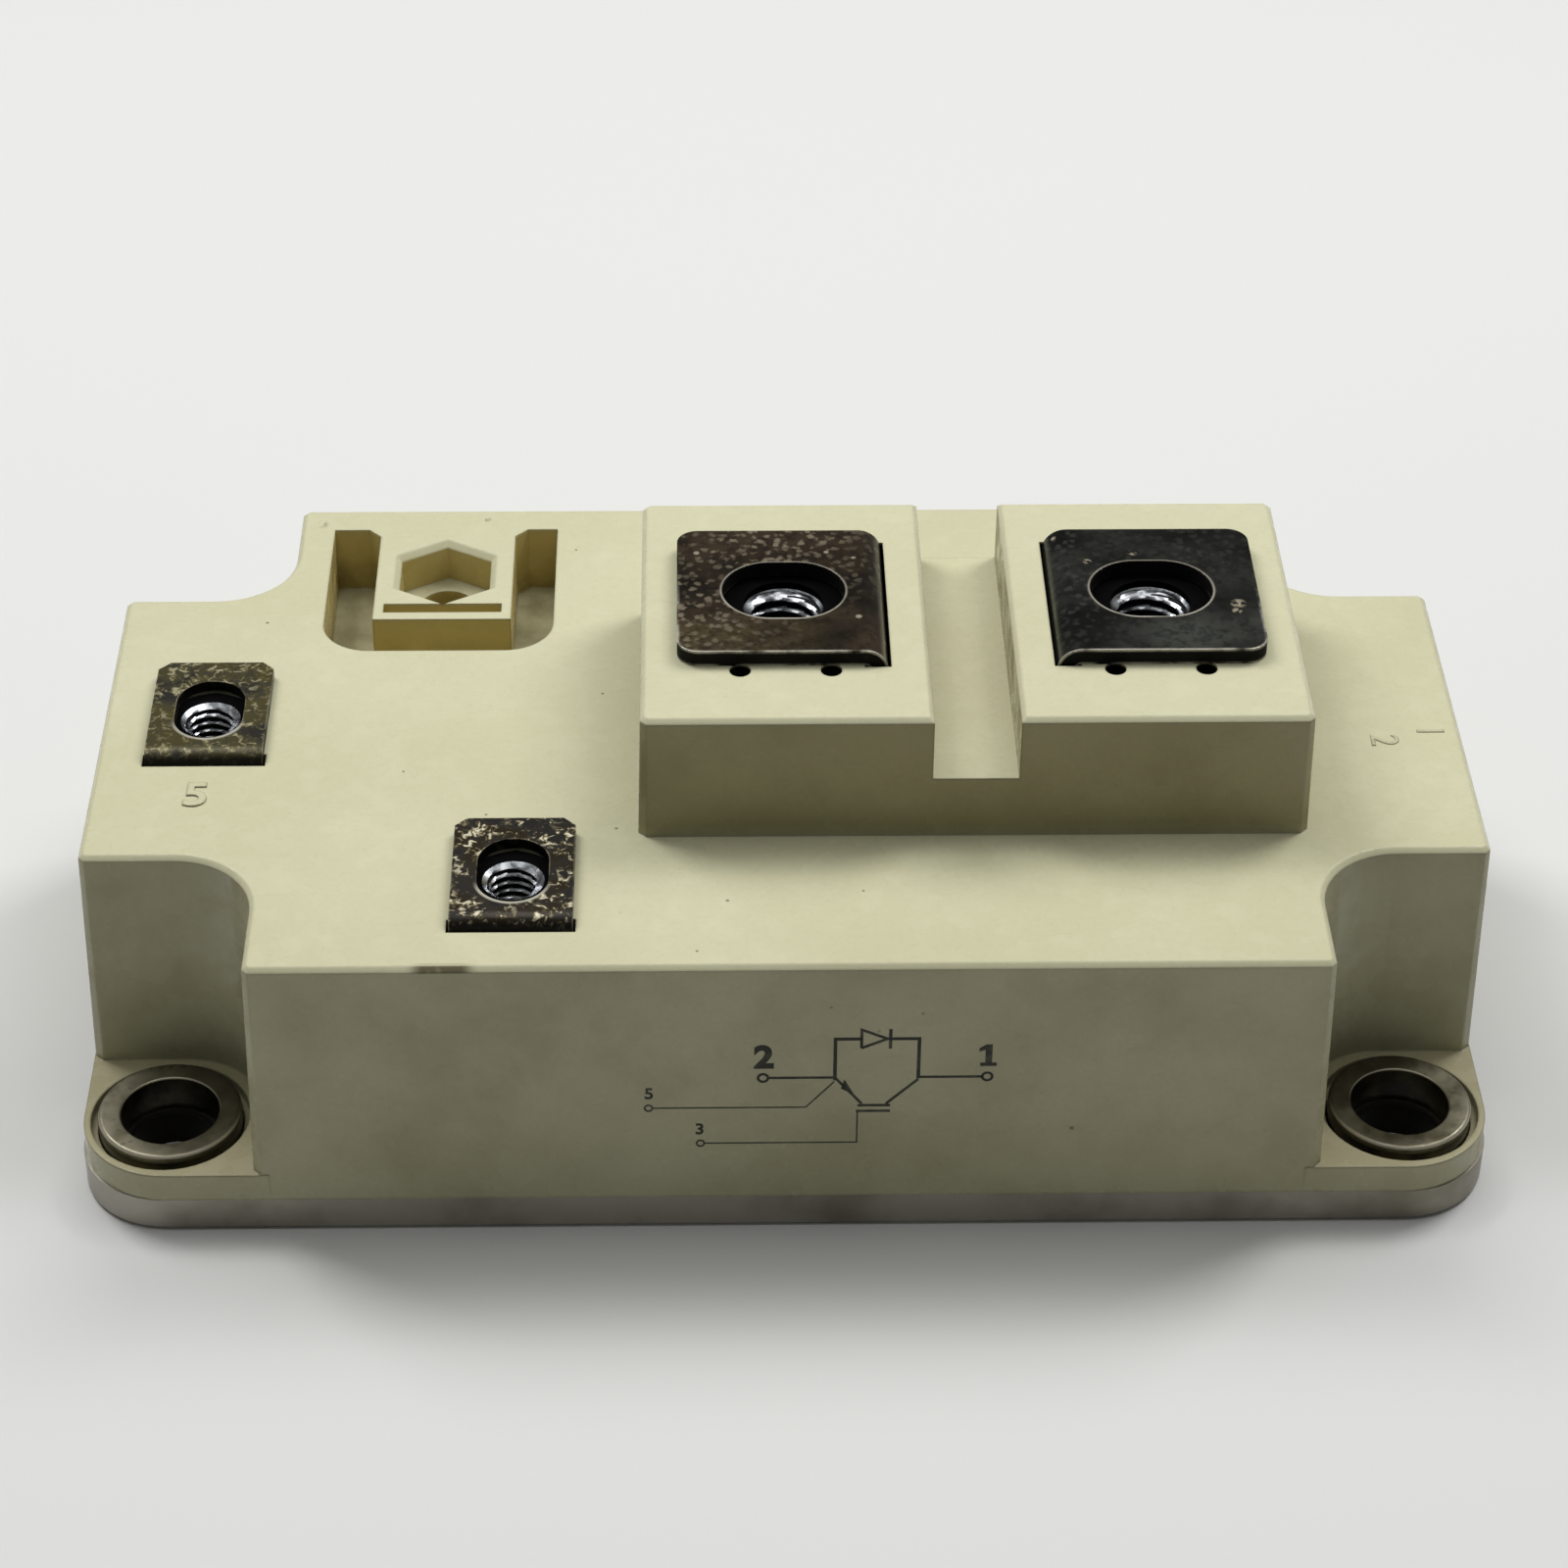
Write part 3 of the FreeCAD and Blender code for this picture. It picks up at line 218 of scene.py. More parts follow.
    def near(self, x, y, z, radius, soft=0.35):
        """1 inside a ball, in millimetres, fading to 0 at its edge."""
        node = self.nodes.new("ShaderNodeVectorMath")
        node.operation = "DISTANCE"
        self.links.new(self.place, node.inputs[0])
        node.inputs[1].default_value = (x * MM, y * MM, z * MM)
        return self.ease(node.outputs["Value"], radius * MM, radius * MM * (1 - soft))

    def slot_distance(self, centre, long, wide):
        """Distance outside an oblong hole, which may lie along X or Y."""
        radius = min(long, wide) / 2
        past_x = self.most(self.minus(self.off("X", centre[0]), long / 2 - radius), 0.0)
        past_y = self.most(self.minus(self.off("Y", centre[1]), wide / 2 - radius), 0.0)
        square = self.plus(self.times(past_x, past_x), self.times(past_y, past_y))
        return self.minus(self.math("SQRT", square), radius)

    def within(self, low, high, soft):
        """1 inside a box given in millimetres, fading to 0 over soft millimetres outside it."""
        share = 1.0
        for name, start, end in zip("XYZ", low, high):
            share = self.times(share, self.along(name, start - soft, start))
            share = self.times(share, self.along(name, end + soft, end))
        return share

    def rounded(self, radius):
        """Normal of the surface with its edges rounded."""
        bevel = self.nodes.new("ShaderNodeBevel")
        bevel.samples = BEVEL_SAMPLES
        bevel.inputs["Radius"].default_value = radius
        return bevel.outputs["Normal"]

    def edge(self, radius, low, high):
        """1 along sharp edges: where the rounded normal turns away from the true one."""
        geometry = self.nodes.new("ShaderNodeNewGeometry")
        node = self.nodes.new("ShaderNodeVectorMath")
        node.operation = "DOT_PRODUCT"
        self.links.new(self.rounded(radius), node.inputs[0])
        self.links.new(geometry.outputs["True Normal"], node.inputs[1])
        return self.ease(self.minus(1.0, node.outputs["Value"]), low, high)

    def relief(self, *heights, radius=0.0):
        """Rounded edges, and bumps given as (height socket, strength, distance)."""
        normal = self.rounded(radius) if radius else None
        for height, strength, distance in heights:
            bump = self.nodes.new("ShaderNodeBump")
            bump.inputs["Strength"].default_value = strength
            bump.inputs["Distance"].default_value = distance
            self.links.new(height, bump.inputs["Height"])
            if normal:
                self.links.new(normal, bump.inputs["Normal"])
            normal = bump.outputs["Normal"]
        self.links.new(normal, self.shader.inputs["Normal"])


# Housing: tones, then places and sizes in millimetres

CREAM = tone("DAD8B6")
DEEP_CREAM = tone("D4D1AE")
MOTTLE = tone("BDB68C")
EAR_SHADE = tone("8E8262")
RECESS_BOUNCE_LIGHT = tone("DCCB88")
WALL_SHADE = tone("8B8569")
TOWER_SHADE = tone("877C50")
WALL_STAIN = tone("7C7450")
GRIME_AND_SHADE = tone("62541F")
MARK = tone("4A432C")
CHIP = tone("736D54")
POCKET_SHADE = tone("14120B")

EAR_TOP = 6.0
EAR_FADE = 1.0
TOWER_FOOT = 24.6
TOWER_FADE = 1.4
GRIME_SHADE_TOP = 24.2
GRIME_SHADE_FULL = 19.5
RECESS_LOW = (-37.0, 9.0, 18.0)
RECESS_HIGH = (-17.6, 27.6, 24.65)
POCKETS = (
    ((-10.2, -14.0, 8.0), (10.0, 14.2, 35.0)),
    ((18.0, -14.0, 8.0), (38.2, 14.2, 35.0)),
)

# Marks, as (x, y, z, radius), and the chip at the front edge

SPECKS = (
    (-47.9, 5.6, 24.7, 0.2), (-41.0, 13.6, 24.7, 0.18), (-14.0, 3.6, 24.7, 0.16), (-29.0, -6.5, 24.7, 0.15),
    (-12.7, -13.8, 24.7, 0.18), (40.8, 10.5, 24.7, 0.2), (-22.5, -12.0, 24.7, 0.15), (9.6, -30.2, 20.3, 0.22),
    (20.9, -30.6, 9.4, 0.25), (46.8, 17.2, 24.6, 0.3), (-16.5, 24.0, 24.7, 0.15), (5.5, -21.5, 24.7, 0.15),
)
SMEARS = (
    (-37.6, 28.0, 24.7, 0.7), (-49.4, 18.4, 24.6, 0.5), (-24.0, 28.6, 24.7, 0.5), (-45.5, -4.5, 24.7, 0.8),
)
CHIP_LOW = (-29.0, -31.0, 24.3)
CHIP_HIGH = (-21.0, -29.6, 24.66)
CHIP_CENTRE = (-25.0, -29.9, 24.5)
CHIP_REACH = 2.7


def plastic_body(paint):
    """Mottled cream with painted shade on the ears' tops, outer walls and towers, painted bounce light on the
    recess's walls, and grime and painted shade deep in the recess.
    """
    cream = paint.blend(paint.ease(paint.noise(40, detail=2), 0.3, 0.7), CREAM, DEEP_CREAM)
    mottle = paint.ease(paint.noise(1700, detail=4, rough=0.7), 0.45, 0.75, 0.16)
    cream = paint.blend(mottle, cream, MOTTLE)
    # Painted shade: the ears' top faces are darkened.
    ear = paint.times(paint.facing("Z", 0.6, 0.9), paint.along("Z", EAR_TOP + EAR_FADE, EAR_TOP))
    cream = paint.blend(paint.times(ear, 0.55), cream, EAR_SHADE)
    inside = paint.within(RECESS_LOW, RECESS_HIGH, soft=0.1)
    wall = paint.facing("Z", 0.6, 0.1)
    # Painted bounce light: the recess's upright faces are made lighter and yellower.
    cream = paint.blend(paint.times(wall, inside, 0.9), cream, RECESS_BOUNCE_LIGHT)
    outer_wall = paint.times(wall, paint.minus(1.0, inside))
    cream = paint.blend(paint.times(outer_wall, 0.6), cream, WALL_SHADE)
    tower = paint.times(outer_wall, paint.along("Z", TOWER_FOOT, TOWER_FOOT + TOWER_FADE, 0.5))
    cream = paint.blend(tower, cream, TOWER_SHADE)
    stain = paint.times(outer_wall, paint.ease(paint.noise(120, detail=4), 0.35, 0.75, 0.35))
    cream = paint.blend(stain, cream, WALL_STAIN)
    # Grime and painted shade: the recess grows darker and browner with depth.
    deep = paint.times(inside, paint.along("Z", GRIME_SHADE_TOP, GRIME_SHADE_FULL))
    grime_and_shade = paint.times(deep, paint.ease(paint.noise(260, detail=5), 0.15, 0.65, 0.6))
    return paint.blend(grime_and_shade, cream, GRIME_AND_SHADE)


def plastic_marks(paint, cream):
    """Specks, smears and the chipped front edge over the cream."""
    scattered = paint.ease(paint.cells(260, offset=(1, 5, 3)), 0.05, 0.03)
    chosen = paint.ease(paint.noise(70, detail=2, offset=(7, 2, 5)), 0.62, 0.66)
    marks = paint.times(scattered, chosen)
    for x, y, z, radius in SPECKS:
        marks = paint.most(marks, paint.near(x, y, z, radius, soft=0.6))
    smears = 0.0
    for x, y, z, radius in SMEARS:
        smears = paint.most(smears, paint.near(x, y, z, radius, soft=0.9))
    ragged = paint.ease(paint.noise(1300, detail=5, rough=0.7), 0.42, 0.6)
    marks = paint.most(marks, paint.times(smears, ragged))
    cream = paint.blend(paint.times(marks, 0.7), cream, MARK)
    smudge = paint.ease(paint.noise(600, detail=3, offset=(2, 6, 1)), 0.1, 0.45)
    smudge = paint.times(smudge, paint.near(*CHIP_CENTRE, CHIP_REACH, soft=0.5))
    chip = paint.within(CHIP_LOW, CHIP_HIGH, soft=0.06)
    return paint.blend(paint.times(chip, smudge), cream, CHIP)


def housing_plastic():
    """Cream moulded plastic, nearly black inside the nut pockets."""
    paint = Paint("housing_plastic", roughness=0.5, specular=0.3)
    colour = plastic_marks(paint, plastic_body(paint))
    for low, high in POCKETS:
        colour = paint.blend(paint.within(low, high, soft=0.05), colour, POCKET_SHADE)
    paint.feed("Base Color", colour)
    paint.feed("Roughness", paint.ease(paint.noise(500, detail=2), 0.2, 0.9, 0.65))
    grain = (paint.noise(2600, detail=3, rough=0.6), 0.14, 0.05 * MM)
    waves = (paint.noise(160, detail=2), 0.08, 0.3 * MM)
    paint.relief(grain, waves, radius=0.35 * MM)
    return paint.material


# Terminals: tones that both of a kind share

LONE_SPOT = tone("A79D88")
SLOT_SHADE = tone("030302")
HOLE_RIM = tone("A49D8E")
FRONT_WEAR_HIGHLIGHT = tone("EFE9D8")
GLINT = tone("E4DDC2")
BEND_SHADE = tone("0A0704")
HOLE_LIP = tone("C9C5B4")
WORN_EDGE = tone("BDB596")

# Where the small terminals' speckles start to crowd, in metres from the hole's centre

SPECKLE_START = 2.4 * MM
SPECKLE_FULL = 4.6 * MM


def spotted_sheet(paint, centre, base, sheen, haze, haze_side, blotch, blotch_share):
    """Clouded sheet with a painted sheen towards the front and to one side, and blotches that crowd to its
    back left.
    """
    across, back = centre[0], centre[1]
    cloud = paint.ease(paint.noise(150, detail=4, warp=0.5, stretch=(0.7, 1.3, 1)), 0.35, 0.7)
    colour = paint.blend(cloud, base, sheen)
    # Painted sheen: lighter towards the front and towards one side.
    sheen_share = paint.ease(paint.noise(220, detail=4, offset=(1, 8, 4)), 0.25, 0.65, 0.7)
    sideways = paint.times(paint.minus(paint.axis("X"), across), haze_side)
    sheen_share = paint.times(sheen_share, paint.ease(sideways, -6 * MM, 3 * MM))
    forward = paint.along("Y", -1, -6, origin=back)
    colour = paint.blend(paint.times(forward, sheen_share), colour, haze)
    fine = paint.ease(paint.noise(1300, detail=4, rough=0.65), 0.44, 0.66, 0.55)
    colour = paint.blend(fine, colour, base)
    grain = paint.times(paint.noise(2400, detail=3), 1.1)
    soft = paint.ease(paint.plus(paint.cells(1300, offset=(3, 1, 5)), grain), 1.06, 0.72)
    patch = paint.ease(paint.noise(150, detail=2, offset=(4, 2, 7)), 0.36, 0.58)
    diagonal = paint.minus(paint.axis("Y"), paint.axis("X"))
    crowd = paint.ease(diagonal, back - across - 10 * MM, back - across + 6 * MM)
    crowd = paint.times(crowd, paint.plus(0.3, paint.times(patch, 0.7)))
    return paint.blend(paint.times(soft, crowd, blotch_share), colour, blotch)


def main_plate(name, centre, spots, scratches, **sheet):
    """Tarnished sheet with lighter spots, worn bright round its hole, painted shade on its upright faces, and
    a bright line along its front edge that is partly wear and partly painted highlight.

    scratches are (x, y, radius) in millimetres, and a larger value of spots scatters more of them.
    """
    paint = Paint(name, metallic=0.25, roughness=0.4, specular=0.3)
    colour = spotted_sheet(paint, centre, **sheet)
    lone = paint.ease(paint.cells(430, offset=(2, 4, 1)), 0.13, 0.07)
    chosen = paint.ease(paint.noise(190, detail=3, offset=(8, 3, 2)), 0.62 - spots, 0.66 - spots)
    lone = paint.times(lone, chosen)
    ragged = paint.ease(paint.noise(2200, detail=3), 0.44, 0.56)
    for x, y, radius in scratches:
        mark = paint.near(x, y, MAIN_TOP / MM, radius, soft=0.5)
        lone = paint.most(lone, paint.times(mark, ragged))
    colour = paint.blend(lone, colour, LONE_SPOT)
    # Painted shade: the hole's wall and the sheet's edges are made nearly black.
    upright = paint.facing("Z", 0.5, 0.2)
    colour = paint.blend(paint.times(upright, 0.95), colour, SLOT_SHADE)
    rim = paint.ease(paint.slot_distance(centre, *MAIN_HOLE), 0.22 * MM, 0.08 * MM)
    rim = paint.times(rim, paint.facing("Z", 0.6, 0.9))
    colour = paint.blend(paint.times(rim, 0.65), colour, HOLE_RIM)
    # A bright line along the front edge: partly wear, partly painted highlight.
    broken = paint.ease(paint.noise(420, detail=4), 0.34, 0.54)
    front = paint.along("Y", 4, -7, 0.95, origin=centre[1])
    line = paint.times(paint.edge(0.45 * MM, 0.04, 0.1), broken, front)
    paint.feed("Base Color", paint.blend(line, colour, FRONT_WEAR_HIGHLIGHT))
    dull = paint.ease(paint.noise(300, detail=4), -0.4, 1.4, 0.5)
    paint.feed("Roughness", paint.most(dull, paint.times(upright, 0.85)))
    pits = (paint.noise(1200, detail=4, rough=0.6), 0.12, 0.05 * MM)
    paint.relief(pits, radius=0.15 * MM)
    return paint.material


def small_plate(name, centre, dark, sheen, speckle, glints):
    """Dark tarnished sheet, with speckles that crowd its rim, painted shade where it turns away from the top,
    and a worn line before its hole.
    """
    paint = Paint(name, metallic=0.3, roughness=0.4, specular=0.4)
    cloud = paint.ease(paint.noise(330, detail=4, warp=0.6), 0.35, 0.68)
    colour = paint.blend(cloud, dark, sheen)
    away = paint.most(paint.off("X", centre[0]), paint.off("Y", centre[1]))
    away = paint.ease(away, SPECKLE_START, SPECKLE_FULL, 0.09)
    patch = paint.ease(paint.plus(paint.noise(260, detail=2, offset=(3, 3, 9)), away), 0.36, 0.56)
    curls = paint.noise(1500, detail=4, rough=0.6, warp=1.0, offset=(5, 1, 2))
    colour = paint.blend(paint.times(paint.ease(curls, 0.51, 0.6), patch, 0.8), colour, speckle)
    colour = paint.blend(paint.times(paint.ease(curls, 0.58, 0.64, glints), patch), colour, GLINT)
    # Painted shade: faces that turn away from the top are made nearly black.
    bend = paint.facing("Z", 0.98, 0.5)
    colour = paint.blend(paint.times(bend, 0.94), colour, BEND_SHADE)
    rim = paint.ease(paint.slot_distance(centre, *SMALL_HOLE), 0.34 * MM, 0.12 * MM)
    before = paint.along("Y", -1.2, -2.8, 0.85, origin=centre[1])
    colour = paint.blend(paint.times(rim, before, paint.facing("Z", 0.6, 0.9)), colour, HOLE_LIP)
    broken = paint.ease(paint.noise(800, detail=3), 0.4, 0.56)
    worn = paint.times(paint.edge(0.16 * MM, 0.02, 0.12), broken)
    paint.feed("Base Color", paint.blend(paint.times(worn, 0.7), colour, WORN_EDGE))
    paint.feed("Roughness", paint.ease(cloud, 2.0, -0.8, 0.8))
    pits = (paint.noise(1500, detail=4, rough=0.7), 0.35, 0.06 * MM)
    paint.relief(pits, radius=0.12 * MM)
    return paint.material


# Other metals, and what lies inside

STEEL = tone("87826F")
STEEL_STAIN = tone("57523F")
STEEL_SHADE = tone("3D3828")
STEEL_FLECK = tone("2E281D")
ROLL_HIGHLIGHT = tone("D8D0BA")
ZINC = tone("D6D9DD")
ZINC_STAIN = tone("5E6064")
NICKEL = tone("A5A196")
NICKEL_STAIN = tone("7F7A6D")
NICKEL_HOLE_SHADE = tone("15130C")

# Places and sizes in millimetres

RING_LIT = 49.5
RING_SHADED = 44.0
HOLE_SHADE_HEIGHT = 1.5
HOLE_SHADE_REACH = 5.2


def turned_steel():
    """Dull steel, with painted shade towards the case's middle and a painted highlight along the front of its
    rolled edge.
    """
    paint = Paint("ring_steel", metallic=0.7, roughness=0.4)
    stain = paint.ease(paint.noise(260, detail=4, rough=0.6, warp=0.4), 0.38, 0.7)
    colour = paint.blend(stain, STEEL, STEEL_STAIN)
    inward = paint.ease(paint.off("X"), RING_LIT * MM, RING_SHADED * MM, 0.75)
    colour = paint.blend(inward, colour, STEEL_SHADE)
    colour = paint.blend(paint.ease(paint.noise(1500, detail=3), 0.6, 0.7, 0.4), colour, STEEL_FLECK)
    # Painted highlight along the front of the rolled edge.
    rolled_edge = paint.times(paint.facing("Z", 0.98, 0.8), paint.facing("Z", 0.3, 0.5))
    frontward = paint.facing("Y", 0.2, -0.5, 0.75)
    paint.feed("Base Color", paint.blend(paint.times(rolled_edge, frontward), colour, ROLL_HIGHLIGHT))
    paint.feed("Roughness", paint.ease(paint.noise(700, detail=3), -0.6, 1.6, 0.75))
    paint.relief((paint.noise(1600, detail=4), 0.1, 0.04 * MM))
    return paint.material


def zinc():
    """Bright plating with duller stains."""
    paint = Paint("nut_steel", metallic=1.0, roughness=0.24)
    stain = paint.ease(paint.noise(900, detail=3), 0.46, 0.64, 0.85)
    paint.feed("Base Color", paint.blend(stain, ZINC, ZINC_STAIN))
    paint.relief((paint.noise(1500, detail=2), 0.04, 0.02 * MM))
    return paint.material


def nickel():
    """Brushed plating, with painted shade round the mounting holes."""
    paint = Paint("nickel_plate", metallic=0.9, roughness=0.35)
    stain = paint.ease(paint.noise(60, detail=5, rough=0.6), 0.4, 0.7)
    colour = paint.blend(stain, NICKEL, NICKEL_STAIN)
    # Painted shade round the mounting holes at the rings.
    hole_x, hole_y = HOLE_CENTRE[0] / MM, HOLE_CENTRE[1] / MM
    for x in (-hole_x, hole_x):
        for y in (-hole_y, hole_y):
            hole = paint.near(x, y, HOLE_SHADE_HEIGHT, HOLE_SHADE_REACH)
            colour = paint.blend(hole, colour, NICKEL_HOLE_SHADE)
    paint.feed("Base Color", colour)
    paint.feed("Roughness", paint.ease(paint.noise(300, detail=4), -0.8, 1.6, 0.8))
    brushed = (paint.noise(900, detail=3, stretch=(0.08, 1, 1)), 0.12, 0.03 * MM)
    paint.relief(brushed, radius=0.1 * MM)
    return paint.material


def plain(name, first, second, scale, metallic=0.0, roughness=0.5, specular=0.5):
    """Two close tones mixed by noise."""
    paint = Paint(name, metallic=metallic, roughness=roughness, specular=specular)
    share = paint.ease(paint.noise(scale), 0.35, 0.65)
    paint.feed("Base Color", paint.blend(share, tone(first), tone(second)))
    paint.relief((paint.noise(scale * 4), 0.1, 0.02 * MM))
    return paint.material


def print_ink():
    """Dark ink, thinner in places."""
    paint = Paint("print_ink", roughness=0.6, specular=0.3)
    share = paint.ease(paint.noise(900, detail=3), 0.45, 0.7)
    paint.feed("Base Color", paint.blend(share, tone("2C2C25"), tone("47473A")))
    return paint.material


SLOT_MATERIALS = {
    "housing_plastic": housing_plastic(),
    "nickel_plate": nickel(),
    "ring_steel": turned_steel(),
    "nut_steel": zinc(),
    "substrate_ceramic": plain("substrate_ceramic", "F1F0EA", "E6E4DB", 400),
    "substrate_copper": plain("substrate_copper", "C98A62", "B5714B", 500, metallic=1.0, roughness=0.35),
    "silicon": plain("silicon", "4C4A57", "3C3B47", 300, metallic=0.6, roughness=0.15),
    "bond_wire": plain("bond_wire", "D9D9DC", "C4C4C9", 2000, metallic=1.0, roughness=0.3),
    "lead_wire": plain("lead_wire", "B23324", "9C2A1D", 900, roughness=0.45),
    "gel": plain("gel", "E8EDEB", "DDE4E1", 150, roughness=0.15),
}
PLATE_MATERIALS = {
    "terminal_emitter": main_plate(
        "emitter_metal", centre_of("main_nut_left"), base=tone("15110C"), sheen=tone("43382A"),
        haze=tone("5C5037"), haze_side=-1, blotch=tone("8F836F"), blotch_share=0.85,
        spots=0.1, scratches=((-6.6, 5.6, 0.3), (5.4, 5.0, 0.35)),
    ),
    "terminal_collector": main_plate(
        "collector_metal", centre_of("main_nut_right"), base=tone("0D0E0B"), sheen=tone("32332E"),
        haze=tone("565852"), haze_side=1, blotch=tone("53534C"), blotch_share=0.4,
        spots=0.02, scratches=((34.4, -1.6, 0.7), (34.2, -2.6, 0.45), (27.0, 5.4, 0.5), (23.4, 4.2, 0.4)),
    ),
    "terminal_gate": small_plate(
        "gate_metal", centre_of("small_nut_front"), dark=tone("0D0A06"), sheen=tone("342B1B"),
        speckle=tone("8E825C"), glints=1.0,
    ),
    "terminal_sense": small_plate(
        "sense_metal", centre_of("small_nut_left"), dark=tone("19160C"), sheen=tone("565030"),
        speckle=tone("7C744A"), glints=0.3,
    ),
}

for part in frame["record"]["subparts"]:
    node = NODES[part["node"]]
    material = PLATE_MATERIALS.get(part["node"]) or SLOT_MATERIALS[part["material_slot"]]
    node.data.materials.clear()
    node.data.materials.append(material)


# Meshes

SMOOTH_ANGLE = math.radians(32)


def finish_mesh(name, mesh, *materials):
    """Object made of a bmesh, shaded smooth between its sharp edges."""
    data = bpy.data.meshes.new(name)
    mesh.to_mesh(data)
    mesh.free()
    piece = bpy.data.objects.new(name, data)
    bpy.context.scene.collection.objects.link(piece)
    for material in materials:
        data.materials.append(material)
    data.shade_smooth()
    data.set_sharp_from_angle(angle=SMOOTH_ANGLE)
    return piece


def turned_mesh(name, rings, centre, materials, choose):
    """Closed mesh from rings of (radius, height) points, all in metres, about an upright axis at centre.

    For a face's mean radius and height, choose gives the number of its material.
    """
    mesh = bmesh.new()
    rows = []
    for ring in rings:
        count = len(ring)
        row = []
        for index, (radius, height) in enumerate(ring):
            angle = math.tau * index / count
            x = centre[0] + radius * math.cos(angle)
            y = centre[1] + radius * math.sin(angle)
            row.append(mesh.verts.new((x, y, height)))
        rows.append(row)
    for row, following in zip(rows, rows[1:] + rows[:1]):
        for index in range(len(row)):
            ahead = (index + 1) % len(row)
            face = mesh.faces.new((row[index], row[ahead], following[ahead], following[index]))
            middle = face.calc_center_median()
            radius = math.hypot(middle.x - centre[0], middle.y - centre[1])
            face.material_index = choose(radius, middle.z)
    bmesh.ops.recalc_face_normals(mesh, faces=mesh.faces)
    return finish_mesh(name, mesh, *materials)


# Nuts with their threads cut

NUT_STEPS = 144
NUT_BEVEL = math.tan(math.radians(30))
NUT_INSET = 0.03 * MM
THREAD_ROWS = 12
LEAD_SLOPE = math.tan(math.radians(33))
LEAD_EDGE = 0.02 * MM

# The thread's depth as a share of its pitch, and its crest and flank as shares of half a wave

THREAD_DEPTH = 0.54
CREST_SHARE = 0.12
FLANK_SHARE = 0.68

# Thread, pitch, width of the lead-in and its depth under the top

MAIN_THREAD = (6 * MM, 1.0 * MM, 0.1 * MM, 0.6 * MM)
SMALL_THREAD = (4 * MM, 0.7 * MM, 0.3 * MM, 0.0)

NUT_SHADE = plain("nut_face", "050505", "070708", 900, roughness=0.9, specular=0.05)
THREAD_SHADE = plain("thread_root", "0C0C0D", "060607", 900, metallic=0.3, roughness=0.5, specular=0.2)
NUT_MATERIALS = (SLOT_MATERIALS["nut_steel"], NUT_SHADE, THREAD_SHADE)
NUT_BRIGHT, NUT_SHADED, NUT_ROOT = range(3)


def hexagon_radius(angle, flats):
    """Distance from the axis to a hexagon's side, with two corners along Y."""
    sixth = math.pi / 3
    return flats / 2 / math.cos((angle + sixth / 2) % sixth - sixth / 2)


def thread_radius(turns, crest, root):
    """Radius of the thread's wave at a number of turns, with a flat crest and root."""
    wave = abs((turns % 1.0) * 2 - 1)
    share = min(max((wave - CREST_SHARE) / FLANK_SHARE, 0.0), 1.0)
    return crest + (root - crest) * share


def nut_outside(low, high, flats, mouth):
    """Rings of the hexagon's sides, its bevelled top and the top's inner edge, whose radius is mouth."""
    angles = [math.tau * index / NUT_STEPS for index in range(NUT_STEPS)]
    reaches = [hexagon_radius(angle, flats) for angle in angles]
    return [
        [(reach, low) for reach in reaches],
        [(reach, high - (reach - flats / 2) * NUT_BEVEL - NUT_INSET) for reach in reaches],
        [(flats / 2 - NUT_INSET, high)] * NUT_STEPS,
        [(mouth, high)] * NUT_STEPS,
    ]


def make_nut(node, thread, pitch, lead, drop):
    """A hexagon nut with its thread and a lead-in, which starts lead outside the thread and drop down."""
    low_corner, high_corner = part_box(node)
    low, high = low_corner[2], high_corner[2]
    flats = high_corner[0] - low_corner[0]
    root = thread / 2
    crest = root - pitch * THREAD_DEPTH
    rings = nut_outside(low, high, flats, root + lead)
    rows = int((high - low) / pitch * THREAD_ROWS)
    for row in range(rows + 1):
        height = high - (high - low) * row / rows
        cone = root + lead - max(high - height - drop, 0) / LEAD_SLOPE
        ring = []
        for index in range(NUT_STEPS):
            radius = thread_radius((high - height) / pitch + index / NUT_STEPS, crest, root)
            ring.append((max(radius, cone), height))
        rings.append(ring)
    middle = (crest + root) / 2
    lead_low = high - drop - (lead + root - crest) * LEAD_SLOPE

    def choose(radius, height):
        if radius > root + lead - LEAD_EDGE:
            return NUT_SHADED
        return NUT_ROOT if radius > middle and height < lead_low else NUT_BRIGHT

    piece = turned_mesh(f"threaded_{node}", rings, centre_of(node), NUT_MATERIALS, choose)
    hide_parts(node)
    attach(piece, "root")


for nut in ("main_nut_left", "main_nut_right"):
    make_nut(nut, *MAIN_THREAD)
for nut in ("small_nut_left", "small_nut_front"):
    make_nut(nut, *SMALL_THREAD)


# Mounting rings with rolled edges

RING_STEPS = 128
RING_WALL = 1.7 * MM
ROLL_STEPS = 7
OUTER_ROLL = 0.32 * MM
INNER_ROLL = 0.18 * MM
INNER_DROP = 0.08 * MM
LIP_DEPTH = 0.34 * MM
SKIRT_DEPTH = 0.6 * MM
RING_SHADE = plain("ring_bore", "4A452E", "1C190F", 380, metallic=0.5, roughness=0.3)


def rolled(radius, height, size, outward):
    """Quarter round from a wall to the top face, at the corner of a ring's section."""
    points = []
    for index in range(ROLL_STEPS + 1):
        angle = math.pi / 2 * index / ROLL_STEPS
        if not outward:
            angle = math.pi / 2 - angle
        across = size * (math.cos(angle) - 1) * (1 if outward else -1)
        points.append((radius + across, height + size * (math.sin(angle) - 1)))
    return points


